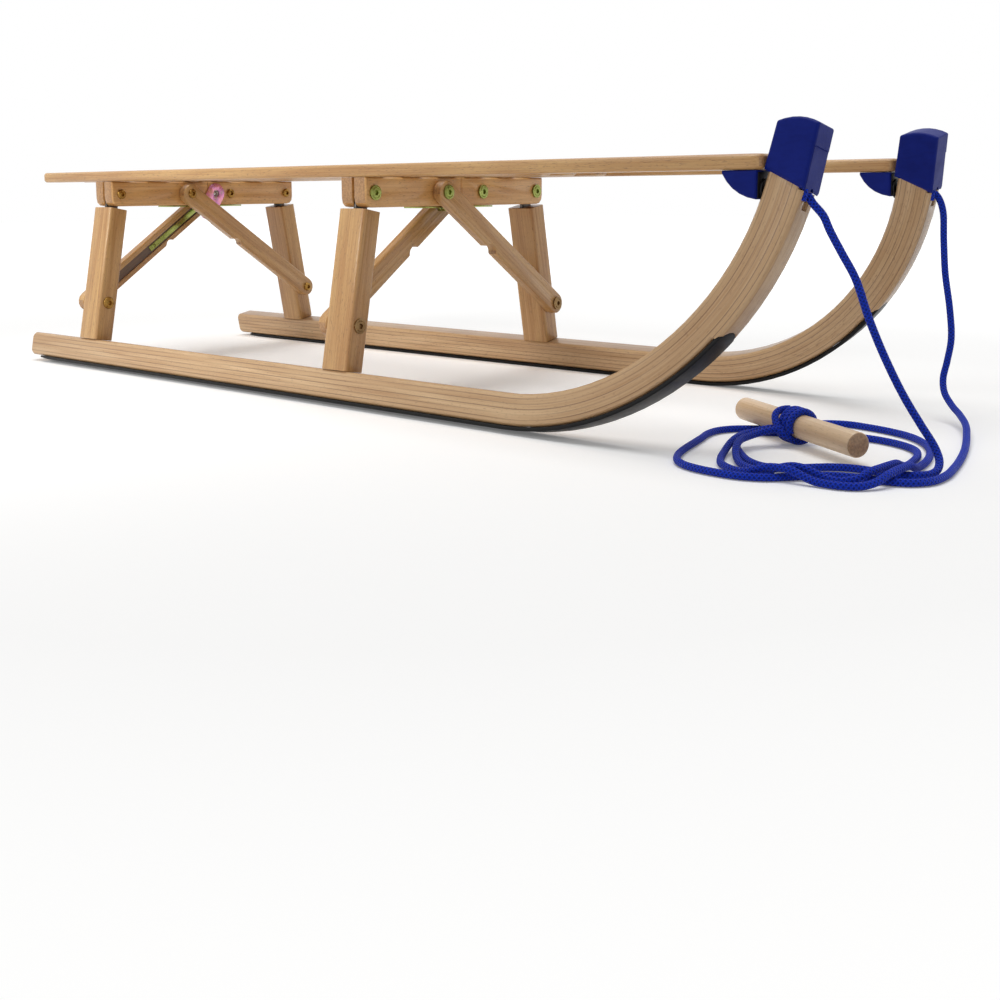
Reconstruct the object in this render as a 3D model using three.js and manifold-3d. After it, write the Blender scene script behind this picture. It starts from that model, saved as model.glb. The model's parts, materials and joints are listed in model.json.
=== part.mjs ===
// A folding wooden sledge, standing open. Millimetres, +X forward to the horns, +Y to its left, +Z up.
// Two runner assemblies lean outward under two seat halves, which fold together under a centre hinge.

import * as THREE from 'three';
import { mergeVertices } from 'three/addons/utils/BufferGeometryUtils.js';
import Module from 'manifold-3d';

const wasm = await Module();
wasm.setup();

// Driving dimensions
const gap = 0.3;                    // between pieces that touch
const overrun = 2;                  // how far a cut runs past the face that it opens
const splay = THREE.MathUtils.degToRad(10.65);
const legLineY = 131;               // leg hinge line, from the centre plane
const wheelbase = 428;              // rear crossbar to front crossbar
const circleSides = 16;

const seat = {
  thickness: 12, width: 30, ease: 2.2, cornerRadius: 9,
  rearOverhang: 133, shortReach: 144.5, capClearance: 0.4,
  innerY: 21.5, middleY: 76.5, outerY: 131.5,
};
const bar = {
  depth: 35, height: 30, hingeRise: 14.5, endY: 143.6, cornerRadius: 10, ease: 1.5,
  slotReach: 11,
};
const leg = { depth: 35, width: 24, top: 17.6, edgeRadius: 3 };
const tongue = { thickness: 3, width: 16, letIn: 40 };
const runner = {
  thickness: 28, width: 24, ease: 2.5, rearReach: 122.6, bendStart: 215.3, bendRadius: 240,
  hornLean: THREE.MathUtils.degToRad(10), hornStart: 6.82, hornLength: 38.77, endRadius: 7,
};
const sole = {
  thickness: 4, ease: 1, arc: THREE.MathUtils.degToRad(52), rearInset: 24, rearRamp: 18,
  rearThickness: 2.4,
};
const cap = {
  sideWall: 1.95, backWall: 2.5, frontWall: 2.5, channelDepth: 3.2, channelWidth: 8, ease: 1.6,
  backFoot: 5.3, shoulder: 41.3, crown: 49, frontShoulder: 44.5, frontFoot: 5.6, topFrontWall: 3.2,
  grooveLength: 20,
};
const gusset = {
  length: 29.2, width: 28, drop: 22.2, backDropShare: 0.1, sweepX: 0.32, sweepZ: 0.12, frontInset: 4.2,
  ease: 1.2, pocketLength: 10, pocketWidth: 17, pocketDepth: 12, pocketInset: 4,
};
const hornPin = { radius: 3, flangeRadius: 9, inWood: 13, inGusset: 9 };
const bolt = { shank: 3, clearance: 0.3 };
const flatHead = { radius: 7.5, height: 2.2, domeShare: 0.25 };
const domedHead = { radius: 5.75, height: 3.2, domeShare: 0.7 };
const brace = { width: 23.5, thickness: 11.7, ease: 1.2, lowPivot: 131.9, notchClearance: 1.5 };
const hinge = {
  leafThickness: 1.6, leafReach: 55, width: 30, barrelRadius: 2.9, pinRadius: 1.5, knuckles: 5,
};
const lock = {
  y: 10.5, plateThickness: 2, lobeRadius: 13, holeRadius: 4.5, pinRadius: 3, pinLength: 29.7,
  tipSetback: 0.6, rodRadius: 1.6, rodReach: 24.5, eyeRadius: 2.6, eyeHole: 1.2,
  bushRadius: 5.75, bushLength: 12, ringRadius: 11.8, wireRadius: 0.7,
};
const rope = { radius: 3, sides: 8, startDrop: 2.2, straight: 7, exitTurn: THREE.MathUtils.degToRad(45) };
const handle = {
  radius: 10, length: 166, x: 476, y: -67.5, height: 16.6, endRadius: 3,
  turn: THREE.MathUtils.degToRad(-32.3),
};
const knot = {
  width: 18, lumpRadius: 5.5, lumpLengthShare: 1.3, lumpAlong: -4.5, lumpReach: 14,
  lumpRise: THREE.MathUtils.degToRad(35),
};

// Places that follow from them
const barTop = bar.height - bar.hingeRise;
const seatUnderside = barTop;
const hingeDrop = bar.hingeRise + hinge.barrelRadius + gap;
const barHalfDepth = bar.depth / 2;
const hornTurn = Math.PI / 2 - runner.hornLean;
const bendCentreZ = runner.hornStart + runner.bendRadius * Math.cos(hornTurn);
const legLength = runner.bendRadius - runner.thickness / 2 - bendCentreZ;
const soleBottom = legLength + runner.thickness + sole.thickness;
const standHeight = soleBottom * Math.cos(splay)
  + (runner.width / 2 - sole.ease) * Math.sin(splay);
const runnerRear = -wheelbase - runner.rearReach;
const hornFootX = runner.bendStart + runner.bendRadius * Math.sin(hornTurn);
const capBack = runner.thickness / 2 + gap + cap.backWall;
const capFrontLow = runner.thickness / 2 + cap.channelDepth + cap.frontWall;
const capFrontHigh = runner.thickness / 2 + gap + cap.topFrontWall;
const capWidth = runner.width + 2 * (gap + cap.sideWall);
const capFrontX = hornFootX + capFrontHigh * Math.cos(runner.hornLean)
  + cap.frontShoulder * Math.sin(runner.hornLean);
const middleX = (wheelbase + capFrontX - seat.rearOverhang) / 2;
const capBackX = hornFootX - capBack / Math.cos(runner.hornLean)
  + (seatUnderside - runner.hornStart) * Math.tan(runner.hornLean);
const longReach = capBackX - seat.capClearance;
const gussetFrontX = longReach - gusset.frontInset;
const braceHalf = brace.width / 2;
const braceInner = barHalfDepth + gap;
const braceOuter = braceInner + brace.thickness;

// The upper brace pivot lies where one brace length fits both the open and the folded sledge.
const sinSplay = Math.sin(splay);
const braceTopY = (2 * hingeDrop ** 2 + legLineY * brace.lowPivot * (1 - sinSplay))
  / (2 * legLineY + brace.lowPivot * (1 + sinSplay));
const braceRun = legLineY + brace.lowPivot * sinSplay + braceTopY;
const braceFall = brace.lowPivot * Math.cos(splay);
const braceLength = Math.hypot(braceRun, braceFall);
const braceSlope = Math.atan2(braceFall, braceRun);
const foldedSlope = Math.asin(2 * hingeDrop / braceLength);
const plateAlong = (braceTopY + lock.y) * Math.cos(braceSlope);
const plateAcross = (braceTopY + lock.y) * Math.sin(braceSlope);

const colours = {
  beech: 0xe0b883, laminate: 0xd9b07c, steel: 0xb7b3a6, brass: 0xb08a3c, zinc: 0xb9b77a,
  plate: 0xd98fb0, blue: 0x1c2fa0, rope: 0x1238d0, dark: 0x1c1c20, white: 0xeeeeea,
};

function material(colour, roughness, metalness = 0) {
  return new THREE.MeshStandardMaterial({ color: colours[colour], roughness, metalness });
}

function piece(name, geometry, look, parent, place = {}) {
  const mesh = new THREE.Mesh(geometry, look);
  mesh.name = name;
  mesh.position.set(place.x ?? 0, place.y ?? 0, place.z ?? 0);
  mesh.rotation.set(place.turnX ?? 0, place.turnY ?? 0, place.turnZ ?? 0);
  parent.add(mesh);
  return mesh;
}

// Solids for cutting and joining
function solidOf(geometry) {
  const bare = geometry.clone();
  bare.deleteAttribute('normal');
  bare.deleteAttribute('uv');
  const merged = mergeVertices(bare);
  const vertProperties = new Float32Array(merged.attributes.position.array);
  const triVerts = new Uint32Array(merged.index.array);
  return new wasm.Manifold(new wasm.Mesh({ numProp: 3, vertProperties, triVerts }));
}

function geometryOf(solid) {
  const mesh = solid.getMesh();
  const geometry = new THREE.BufferGeometry();
  geometry.setAttribute('position', new THREE.BufferAttribute(mesh.vertProperties, 3));
  geometry.setIndex(new THREE.BufferAttribute(mesh.triVerts, 1));
  geometry.computeVertexNormals();
  return geometry;
}

function cut(geometry, tools) {
  return geometryOf(tools.reduce((solid, tool) => solid.subtract(solidOf(tool)), solidOf(geometry)));
}

function join(geometries) {
  return geometryOf(geometries.slice(1).reduce((solid, next) => solid.add(solidOf(next)),
    solidOf(geometries[0])));
}

// An outline in X and Y, raised along Z and centred on it
function raised(shape, height, ease = 0, curveSegments = 2) {
  const options = { depth: height - 2 * ease, curveSegments, bevelEnabled: ease > 0 };
  if (ease > 0) {
    Object.assign(options, {
      bevelThickness: ease, bevelSize: ease, bevelOffset: -ease, bevelSegments: 1,
    });
  }
  return new THREE.ExtrudeGeometry(shape, options).translate(0, 0, ease - height / 2);
}

// An outline in X and Z, wide along Y
function sideSolid(shape, width, ease = 0, curveSegments = 2) {
  return raised(shape, width, ease, curveSegments).rotateX(Math.PI / 2);
}

// An outline in Y and Z, deep along X
function frontSolid(shape, depth, ease = 0, curveSegments = 2) {
  return sideSolid(shape, depth, ease, curveSegments).rotateZ(Math.PI / 2);
}

// A profile of [distance along X, radius] points turned about the X axis
function turned(profile, sides = circleSides) {
  const points = profile.map(([along, radius]) => new THREE.Vector2(radius, along));
  return new THREE.LatheGeometry(points, sides).rotateZ(-Math.PI / 2);
}

function box(x0, x1, y0, y1, z0, z1) {
  return new THREE.BoxGeometry(x1 - x0, y1 - y0, z1 - z0)
    .translate((x0 + x1) / 2, (y0 + y1) / 2, (z0 + z1) / 2);
}

function rod(radius, x0, x1, y = 0, z = 0) {
  return new THREE.CylinderGeometry(radius, radius, x1 - x0, circleSides)
    .rotateZ(-Math.PI / 2).translate((x0 + x1) / 2, y, z);
}

function roundedRectangle(x0, x1, y0, y1, radius) {
  const shape = new THREE.Shape();
  shape.absarc(x1 - radius, y1 - radius, radius, 0, Math.PI / 2);
  shape.absarc(x0 + radius, y1 - radius, radius, Math.PI / 2, Math.PI);
  shape.absarc(x0 + radius, y0 + radius, radius, Math.PI, 3 * Math.PI / 2);
  shape.absarc(x1 - radius, y0 + radius, radius, 3 * Math.PI / 2, 2 * Math.PI);
  shape.closePath();
  return shape;
}

function stadium(length, radius) {
  const shape = new THREE.Shape();
  shape.absarc(0, 0, radius, Math.PI / 2, 3 * Math.PI / 2);
  shape.absarc(length, 0, radius, -Math.PI / 2, Math.PI / 2);
  shape.closePath();
  return shape;
}

// Bolt heads: the profile of a head that starts on the axis at its crown and ends on the shank
function headProfile(head, face, outward) {
  const flank = head.height * (1 - head.domeShare);
  const dome = head.height * head.domeShare;
  const steps = 2;
  const profile = [];
  for (let i = 0; i <= steps; i += 1) {
    const angle = (i / steps) * Math.PI / 2;
    profile.push([face + outward * (flank + dome * Math.cos(angle)), head.radius * Math.sin(angle)]);
  }
  profile.push([face, head.radius]);
  return profile;
}

function throughBolt(rearHead, rearFace, frontHead, frontFace) {
  const rear = headProfile(rearHead, rearFace, -1);
  const front = headProfile(frontHead, frontFace, 1).reverse();
  return turned([...rear, [rearFace, bolt.shank], [frontFace, bolt.shank], ...front]);
}

function headedBolt(head, face, shankEnd) {
  const profile = headProfile(head, face, 1).reverse();
  return turned([[shankEnd, 0], [shankEnd, bolt.shank], [face, bolt.shank], ...profile]);
}

// Runner assembly: its own frame has the leg hinge line as origin and the leg axis as Z
const runnerOuter = runner.bendRadius + runner.thickness / 2;
const tipTurn = sole.arc - runner.width / 2 / runnerOuter;

// Puts a solid on the bend: its -Z axis then points outward at a turn round the bend's centre
function onBend(geometry, turn) {
  return geometry.rotateY(-turn).translate(runner.bendStart, 0, bendCentreZ);
}

// Puts a solid in the frame of the horn and its cap
function onHorn(geometry) {
  return geometry.rotateY(runner.hornLean).translate(hornFootX, 0, runner.hornStart);
}

function runnerOutline(inner, outer, turn, rear, tip) {
  const shape = new THREE.Shape();
  const startAngle = -Math.PI / 2;
  const top = bendCentreZ - inner;
  const low = bendCentreZ - outer;
  if (tip > 0) {
    const round = runner.endRadius;
    shape.absarc(rear + round, top - round, round, Math.PI / 2, Math.PI, false);
    shape.absarc(rear + round, low + round, round, Math.PI, 3 * Math.PI / 2, false);
  } else {
    shape.moveTo(rear, top);
    shape.lineTo(rear, top - sole.rearThickness);
    shape.lineTo(rear + sole.rearRamp, low);
  }
  shape.lineTo(runner.bendStart, low);
  shape.absarc(runner.bendStart, bendCentreZ, outer, startAngle, startAngle + turn, false);
  if (tip > 0) {
    const end = new THREE.Vector2(Math.cos(turn), Math.sin(turn)).multiplyScalar(tip);
    const foot = new THREE.Vector2(runner.bendStart, bendCentreZ);
    for (const radius of [outer, inner]) {
      const point = new THREE.Vector2(Math.sin(turn), -Math.cos(turn)).multiplyScalar(radius);
      point.add(foot).add(end);
      shape.lineTo(point.x, point.y);
    }
  }
  shape.absarc(runner.bendStart, bendCentreZ, inner, startAngle + turn, startAngle, true);
  shape.closePath();
  return shape;
}

// The back of the horn, at a height above the leg hinge line
function hornBackAt(height) {
  const inner = runner.bendRadius - runner.thickness / 2;
  return runner.bendStart + Math.sqrt(inner ** 2 - (bendCentreZ - height) ** 2);
}

// The horn in front of the sole's tip: as thick as runner and sole together
function hornGeometry() {
  const inner = runner.bendRadius - runner.thickness / 2;
  const outline = runnerOutline(inner, runnerOuter + sole.thickness, hornTurn, runnerRear,
    runner.hornLength);
  const wood = sideSolid(outline, runner.width, runner.ease, 11);
  const reach = 2 * (runner.bendRadius - runnerRear);
  const behindTip = onBend(box(-reach, 0, -runner.width, runner.width, -reach, reach), tipTurn);
  const pocket = rod(runner.width / 2 + gap, runnerOuter, runnerOuter + 2 * sole.thickness);
  const face = runner.thickness / 2;
  const inCap = box(face, 2 * face, -runner.width, runner.width, -cap.frontFoot - 2 * gap, cap.crown);
  const halfGroove = cap.channelWidth / 2;
  const groove = box(face, 2 * face, -halfGroove, halfGroove, -cap.grooveLength, cap.crown);
  return cut(wood, [behindTip, onBend(pocket.rotateY(Math.PI / 2), tipTurn), onHorn(inCap),
    onHorn(groove)]);
}

function runnerGeometry() {
  const inner = runner.bendRadius - runner.thickness / 2;
  const outline = runnerOutline(inner, runnerOuter, hornTurn, runnerRear, runner.hornLength);
  const wood = sideSolid(outline, runner.width, runner.ease, 11);
  const pinBore = rod(hornPin.radius + gap, hornBackAt(0) - overrun, hornBackAt(0) + hornPin.inWood + gap);
  return cut(join([wood, hornGeometry()]), [pinBore]);
}

function soleGeometry() {
  const outline = runnerOutline(runnerOuter + gap, runnerOuter + sole.thickness, sole.arc,
    runnerRear + sole.rearInset, 0);
  const strip = sideSolid(outline, runner.width, sole.ease, 8);
  const tip = box(0, runner.width, -runner.width, runner.width, -2 * runnerOuter, 0);
  const round = rod(runner.width / 2, 0, 2 * runnerOuter).rotateY(Math.PI / 2);
  return cut(strip, [onBend(cut(tip, [round]), tipTurn)]);
}

function legGeometry() {
  const plan = roundedRectangle(-leg.depth / 2, leg.depth / 2, -leg.width / 2, leg.width / 2,
    leg.edgeRadius);
  const length = legLength - gap - leg.top;
  const wood = raised(plan, length).translate(0, 0, -leg.top - length / 2);
  const halfSlot = tongue.thickness / 2 + gap;
  const halfTongue = tongue.width / 2 + gap;
  const slot = box(-halfSlot, halfSlot, -halfTongue, halfTongue,
    -leg.top - tongue.letIn - gap, -leg.top + overrun);
  return cut(wood, [slot]);
}

function tongueGeometry() {
  const strap = stadium(leg.top + tongue.letIn, tongue.width / 2);
  const steel = frontSolid(strap, tongue.thickness, 0, 3).rotateX(-Math.PI / 2);
  const square = box(-tongue.thickness, tongue.thickness, -tongue.width, tongue.width,
    -leg.top - tongue.letIn - tongue.width, -leg.top - tongue.letIn);
  return cut(steel, [square, rod(bolt.shank + bolt.clearance, -tongue.thickness, tongue.thickness)]);
}

// Horn cap, in a frame whose Z runs up the horn and whose X points forward
function capOutline() {
  const shape = new THREE.Shape();
  shape.moveTo(-capBack, cap.backFoot);
  shape.lineTo(capFrontLow, -cap.frontFoot);
  shape.lineTo(capFrontHigh, cap.frontShoulder);
  shape.quadraticCurveTo(0, cap.crown + cap.ease, -capBack, cap.shoulder);
  shape.closePath();
  return shape;
}

function capGeometry() {
  const half = runner.thickness / 2 + gap;
  const halfWidth = runner.width / 2 + gap;
  const halfChannel = cap.channelWidth / 2;
  const shell = sideSolid(capOutline(), capWidth, cap.ease, 6);
  const hollow = box(-half, half, -halfWidth, halfWidth, -cap.crown, runner.hornLength + gap);
  const channel = box(0, runner.thickness / 2 + cap.channelDepth, -halfChannel, halfChannel,
    -cap.crown, cap.frontShoulder / 2);
  return cut(shell, [hollow, channel]);
}

function hornPinGeometry() {
  const flangeFront = hornBackAt(-hornPin.flangeRadius) - gap;
  const flangeBack = gussetFrontX + gap;
  const pinBack = gussetFrontX - hornPin.inGusset;
  const pinFront = hornBackAt(0) + hornPin.inWood;
  return turned([
    [pinBack, 0], [pinBack, hornPin.radius], [flangeBack, hornPin.radius],
    [flangeBack, hornPin.flangeRadius], [flangeFront, hornPin.flangeRadius],
    [flangeFront, hornPin.radius], [pinFront, hornPin.radius], [pinFront, 0],
  ]);
}

// Gusset under the front end of an outer slat, with the leg hinge line as origin
function gussetGeometry(side) {
  const top = seatUnderside - gap;
  const bottom = top - gusset.drop;
  const rear = gussetFrontX - gusset.length;
  const shape = new THREE.Shape();
  shape.moveTo(gussetFrontX, bottom);
  shape.lineTo(gussetFrontX, top);
  shape.lineTo(rear, top);
  shape.lineTo(rear, top - gusset.backDropShare * gusset.drop);
  shape.quadraticCurveTo(rear + gusset.sweepX * gusset.length, bottom + gusset.sweepZ * gusset.drop,
    gussetFrontX, bottom);
  shape.closePath();
  const body = sideSolid(shape, gusset.width, gusset.ease, 5);
  const bore = rod(hornPin.radius + gap, gussetFrontX - hornPin.inGusset - gap, gussetFrontX + overrun,
    side * (legLineY - seat.outerY));
  const pocketFront = gussetFrontX - hornPin.inGusset - gusset.pocketInset / 2;
  const pocket = box(pocketFront - gusset.pocketLength, pocketFront,
    -gusset.pocketWidth / 2, gusset.pocketWidth / 2, bottom - overrun, bottom + gusset.pocketDepth);
  return cut(body, [bore, pocket]);
}

// Seat half
function slatGeometry(reach) {
  const plan = roundedRectangle(-seat.rearOverhang, wheelbase + reach, -seat.width / 2, seat.width / 2,
    seat.cornerRadius);
  return raised(plan, seat.thickness, seat.ease).translate(0, 0, seatUnderside + seat.thickness / 2);
}

function crossbarGeometry(side, carriesLock) {
  const outline = new THREE.Shape();
  const low = -bar.hingeRise;
  outline.moveTo(side * gap / 2, barTop - gap);
  outline.lineTo(side * gap / 2, low);
  outline.lineTo(side * (bar.endY - bar.cornerRadius), low);
  outline.quadraticCurveTo(side * bar.endY, low, side * bar.endY, low + bar.cornerRadius);
  outline.lineTo(side * bar.endY, barTop - gap);
  outline.closePath();
  const halfSlot = tongue.thickness / 2 + gap;
  const slotEnds = [side * (legLineY - bar.slotReach), side * (bar.endY + overrun)];
  const past = barHalfDepth + overrun;
  const tools = [
    box(-halfSlot, halfSlot, Math.min(...slotEnds), Math.max(...slotEnds), low - overrun,
      barTop + overrun),
    rod(bolt.shank + bolt.clearance, -past, past, side * legLineY),
    rod(bolt.shank + bolt.clearance, -past, past, side * braceTopY),
  ];
  if (carriesLock) {
    tools.push(rod(lock.pinRadius + gap, -past, past, side * lock.y));
    tools.push(rod(lock.bushRadius + gap, barHalfDepth - lock.bushLength - gap, past, side * lock.y));
  }
  return cut(frontSolid(outline, bar.depth, bar.ease, 3), tools);
}

// Hinge leaf below a half bar: one half of the knuckles belongs to each leaf
function leafGeometry(side, firstKnuckle) {
  const knuckle = hinge.width / hinge.knuckles;
  const leafTop = -bar.hingeRise - gap;
  const leafLow = leafTop - hinge.leafThickness;
  const clear = hinge.barrelRadius + gap;
  const ySpan = (near, far) => [Math.min(side * near, side * far), Math.max(side * near, side * far)];
  const solids = [box(-hinge.width / 2, hinge.width / 2, ...ySpan(clear, hinge.leafReach), leafLow,
    leafTop)];
  for (let i = firstKnuckle; i < hinge.knuckles; i += 2) {
    const start = -hinge.width / 2 + i * knuckle + gap / 2;
    const end = start + knuckle - gap;
    solids.push(rod(hinge.barrelRadius, start, end, 0, -hingeDrop));
    solids.push(box(start, end, ...ySpan(0, clear + overrun), leafLow, leafTop));
  }
  return cut(join(solids), [rod(hinge.pinRadius + gap, -hinge.width, hinge.width, 0, -hingeDrop)]);
}

// Brace along +Y from its upper pivot, its inner face toward the bar
function braceGeometry(notchRadius, notchSide, rebateDepth) {
  const wood = frontSolid(stadium(braceLength, braceHalf), brace.thickness, brace.ease, 4);
  const past = brace.thickness;
  const boltAlong = (legLineY - braceTopY) * Math.cos(foldedSlope);
  const boltAcross = (legLineY - braceTopY) * Math.sin(foldedSlope);
  const tools = [
    rod(bolt.shank + bolt.clearance, -past, past),
    rod(bolt.shank + bolt.clearance, -past, past, braceLength),
    rod(notchRadius, -past, past, boltAlong, notchSide * boltAcross),
  ];
  if (rebateDepth > 0) {
    const half = lock.lobeRadius + gap;
    const back = -brace.thickness / 2;
    tools.push(box(back - overrun, back + rebateDepth, plateAlong - half, plateAlong + half,
      -brace.width, brace.width));
  }
  return cut(wood, tools);
}

// Lock plate in the brace's frame: a tab that rises from behind the brace to the lock pin
function lockPlateGeometry() {
  const foot = lock.lobeRadius - braceHalf;
  const tab = frontSolid(stadium(plateAcross - foot, lock.lobeRadius), lock.plateThickness, 0, 5)
    .rotateX(Math.PI / 2).translate(0, plateAlong, foot);
  const past = lock.plateThickness;
  return cut(tab, [rod(lock.holeRadius, -past, past, plateAlong, plateAcross)]);
}

// Lock pin from its tip back to the eye that the ring hangs in, with the bar's middle as origin
const lockTip = barHalfDepth - lock.tipSetback;
const lockEyeX = lockTip - lock.pinLength - lock.rodReach - lock.eyeRadius;

function lockPinGeometry() {
  const step = lockTip - lock.pinLength;
  const steps = 4;
  const eye = [];
  for (let i = 0; i <= steps; i += 1) {
    const angle = (i / steps) * (Math.PI - Math.asin(lock.rodRadius / lock.eyeRadius));
    eye.push([lockEyeX - lock.eyeRadius * Math.cos(angle), lock.eyeRadius * Math.sin(angle)]);
  }
  const body = turned([...eye, [step, lock.rodRadius], [step, lock.pinRadius],
    [lockTip - bolt.clearance, lock.pinRadius], [lockTip, lock.pinRadius - bolt.clearance], [lockTip, 0]]);
  const hole = rod(lock.eyeHole, -lock.eyeRadius * 2, lock.eyeRadius * 2).rotateZ(Math.PI / 2)
    .translate(lockEyeX, 0, 0);
  return cut(body, [hole]);
}

function bushGeometry() {
  const bore = lock.pinRadius + gap;
  const back = barHalfDepth - lock.bushLength;
  return turned([[back, bore], [back, lock.bushRadius], [barHalfDepth, lock.bushRadius],
    [barHalfDepth, bore], [back, bore]]);
}

// Assembly
const sledge = new THREE.Group();
const stand = new THREE.Group();
stand.position.set(-middleX, 0, standHeight);
sledge.add(stand);

const sides = [['right', -1], ['left', 1]];
const axles = [['rear', 0, domedHead], ['front', wheelbase, flatHead]];
const beech = () => material('beech', 0.55);

for (const [sideName, side] of sides) {
  const lean = new THREE.Group();
  lean.position.y = side * legLineY;
  lean.rotation.x = side * splay;
  stand.add(lean);
  const fromFront = { x: wheelbase };
  piece(`runner_${sideName}`, runnerGeometry(), material('laminate', 0.5), lean, fromFront);
  piece(`sole_${sideName}`, soleGeometry(), material('dark', 0.4), lean, fromFront);
  const hornPlace = { x: wheelbase + hornFootX, z: runner.hornStart, turnY: runner.hornLean };
  piece(`horn_cap_${sideName}`, capGeometry(), material('blue', 0.45), lean, hornPlace);
  piece(`horn_pin_${sideName}`, hornPinGeometry(), material('dark', 0.4), stand,
    { x: wheelbase, y: side * legLineY });
  piece(`slat_gusset_${sideName}`, gussetGeometry(side), material('blue', 0.45), stand,
    { x: wheelbase, y: side * seat.outerY });

  for (const [axleName, x, head] of axles) {
    const name = `${sideName}_${axleName}`;
    piece(`leg_${name}`, legGeometry(), beech(), lean, { x });
    piece(`leg_tongue_${name}`, tongueGeometry(), material('steel', 0.35, 1), lean, { x });
    const carriesLock = side > 0 && x === 0;
    piece(`crossbar_${name}`, crossbarGeometry(side, carriesLock), beech(), stand, { x });
    const boltFace = barHalfDepth + gap;
    piece(`leg_pivot_bolt_${name}`, throughBolt(head, -boltFace, head, boltFace),
      material('brass', 0.3, 1), stand, { x, y: side * legLineY });
    piece(`hinge_leaf_${name}`, leafGeometry(side, side < 0 ? 0 : 1), material('zinc', 0.35, 1),
      stand, { x });
  }

  const slats = [
    ['outer', seat.outerY, longReach],
    ['middle', seat.middleY, seat.shortReach],
    ['inner', seat.innerY, seat.shortReach],
  ];
  for (const [slatName, y, reach] of slats) {
    piece(`${slatName}_slat_${sideName}`, slatGeometry(reach), beech(), stand, { y: side * y });
  }
}

// Braces: the front one hangs from the right half bar, the back one from the left
const faces = [['front_face', 1, -1], ['back_face', -1, 1]];
for (const [axleName, x, head] of axles) {
  for (const [faceName, face, side] of faces) {
    const underPlate = x === 0 && face > 0;
    const name = `${axleName}_${faceName}`;
    const braceTurn = face > 0 ? -braceSlope : Math.PI + braceSlope;
    const rebate = underPlate ? lock.plateThickness + gap : 0;
    const notchRadius = head.radius + brace.notchClearance;
    const atTop = { x, y: side * braceTopY };
    const middle = face * (braceInner + brace.thickness / 2);
    piece(`brace_${name}`, braceGeometry(notchRadius, -face, rebate), beech(), stand,
      { x: x + middle, y: side * braceTopY, turnX: braceTurn });
    const front = face > 0 ? braceOuter + gap : braceInner;
    const back = face > 0 ? braceInner : braceOuter + gap;
    piece(`brace_top_bolt_${name}`, throughBolt(head, -back, head, front),
      material('brass', 0.3, 1), stand, atTop);
    const lowBolt = headedBolt(head, braceOuter + gap, braceInner);
    piece(`brace_low_bolt_${name}`, face > 0 ? lowBolt : lowBolt.rotateZ(Math.PI),
      material('brass', 0.3, 1), stand,
      { x, y: -side * (braceRun - braceTopY), z: -braceFall });
  }
  piece(`hinge_pin_${axleName}`, rod(hinge.pinRadius, -hinge.width / 2, hinge.width / 2),
    material('steel', 0.35, 1), stand, { x, z: -hingeDrop });
}

// Lock of the rear crossbar
piece('lock_plate', lockPlateGeometry(), material('plate', 0.35, 1), stand,
  { x: barHalfDepth + gap + lock.plateThickness / 2, y: -braceTopY, turnX: -braceSlope });
piece('lock_bush', bushGeometry(), material('white', 0.5), stand, { y: lock.y });
piece('lock_pin', lockPinGeometry(), material('steel', 0.3, 1), stand, { y: lock.y });
const ring = new THREE.TorusGeometry(lock.ringRadius, lock.wireRadius, 6, 24).rotateY(Math.PI / 2);
piece('pull_ring', ring, material('steel', 0.25, 1), stand,
  { x: lockEyeX, y: lock.y, z: -lock.ringRadius });

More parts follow.
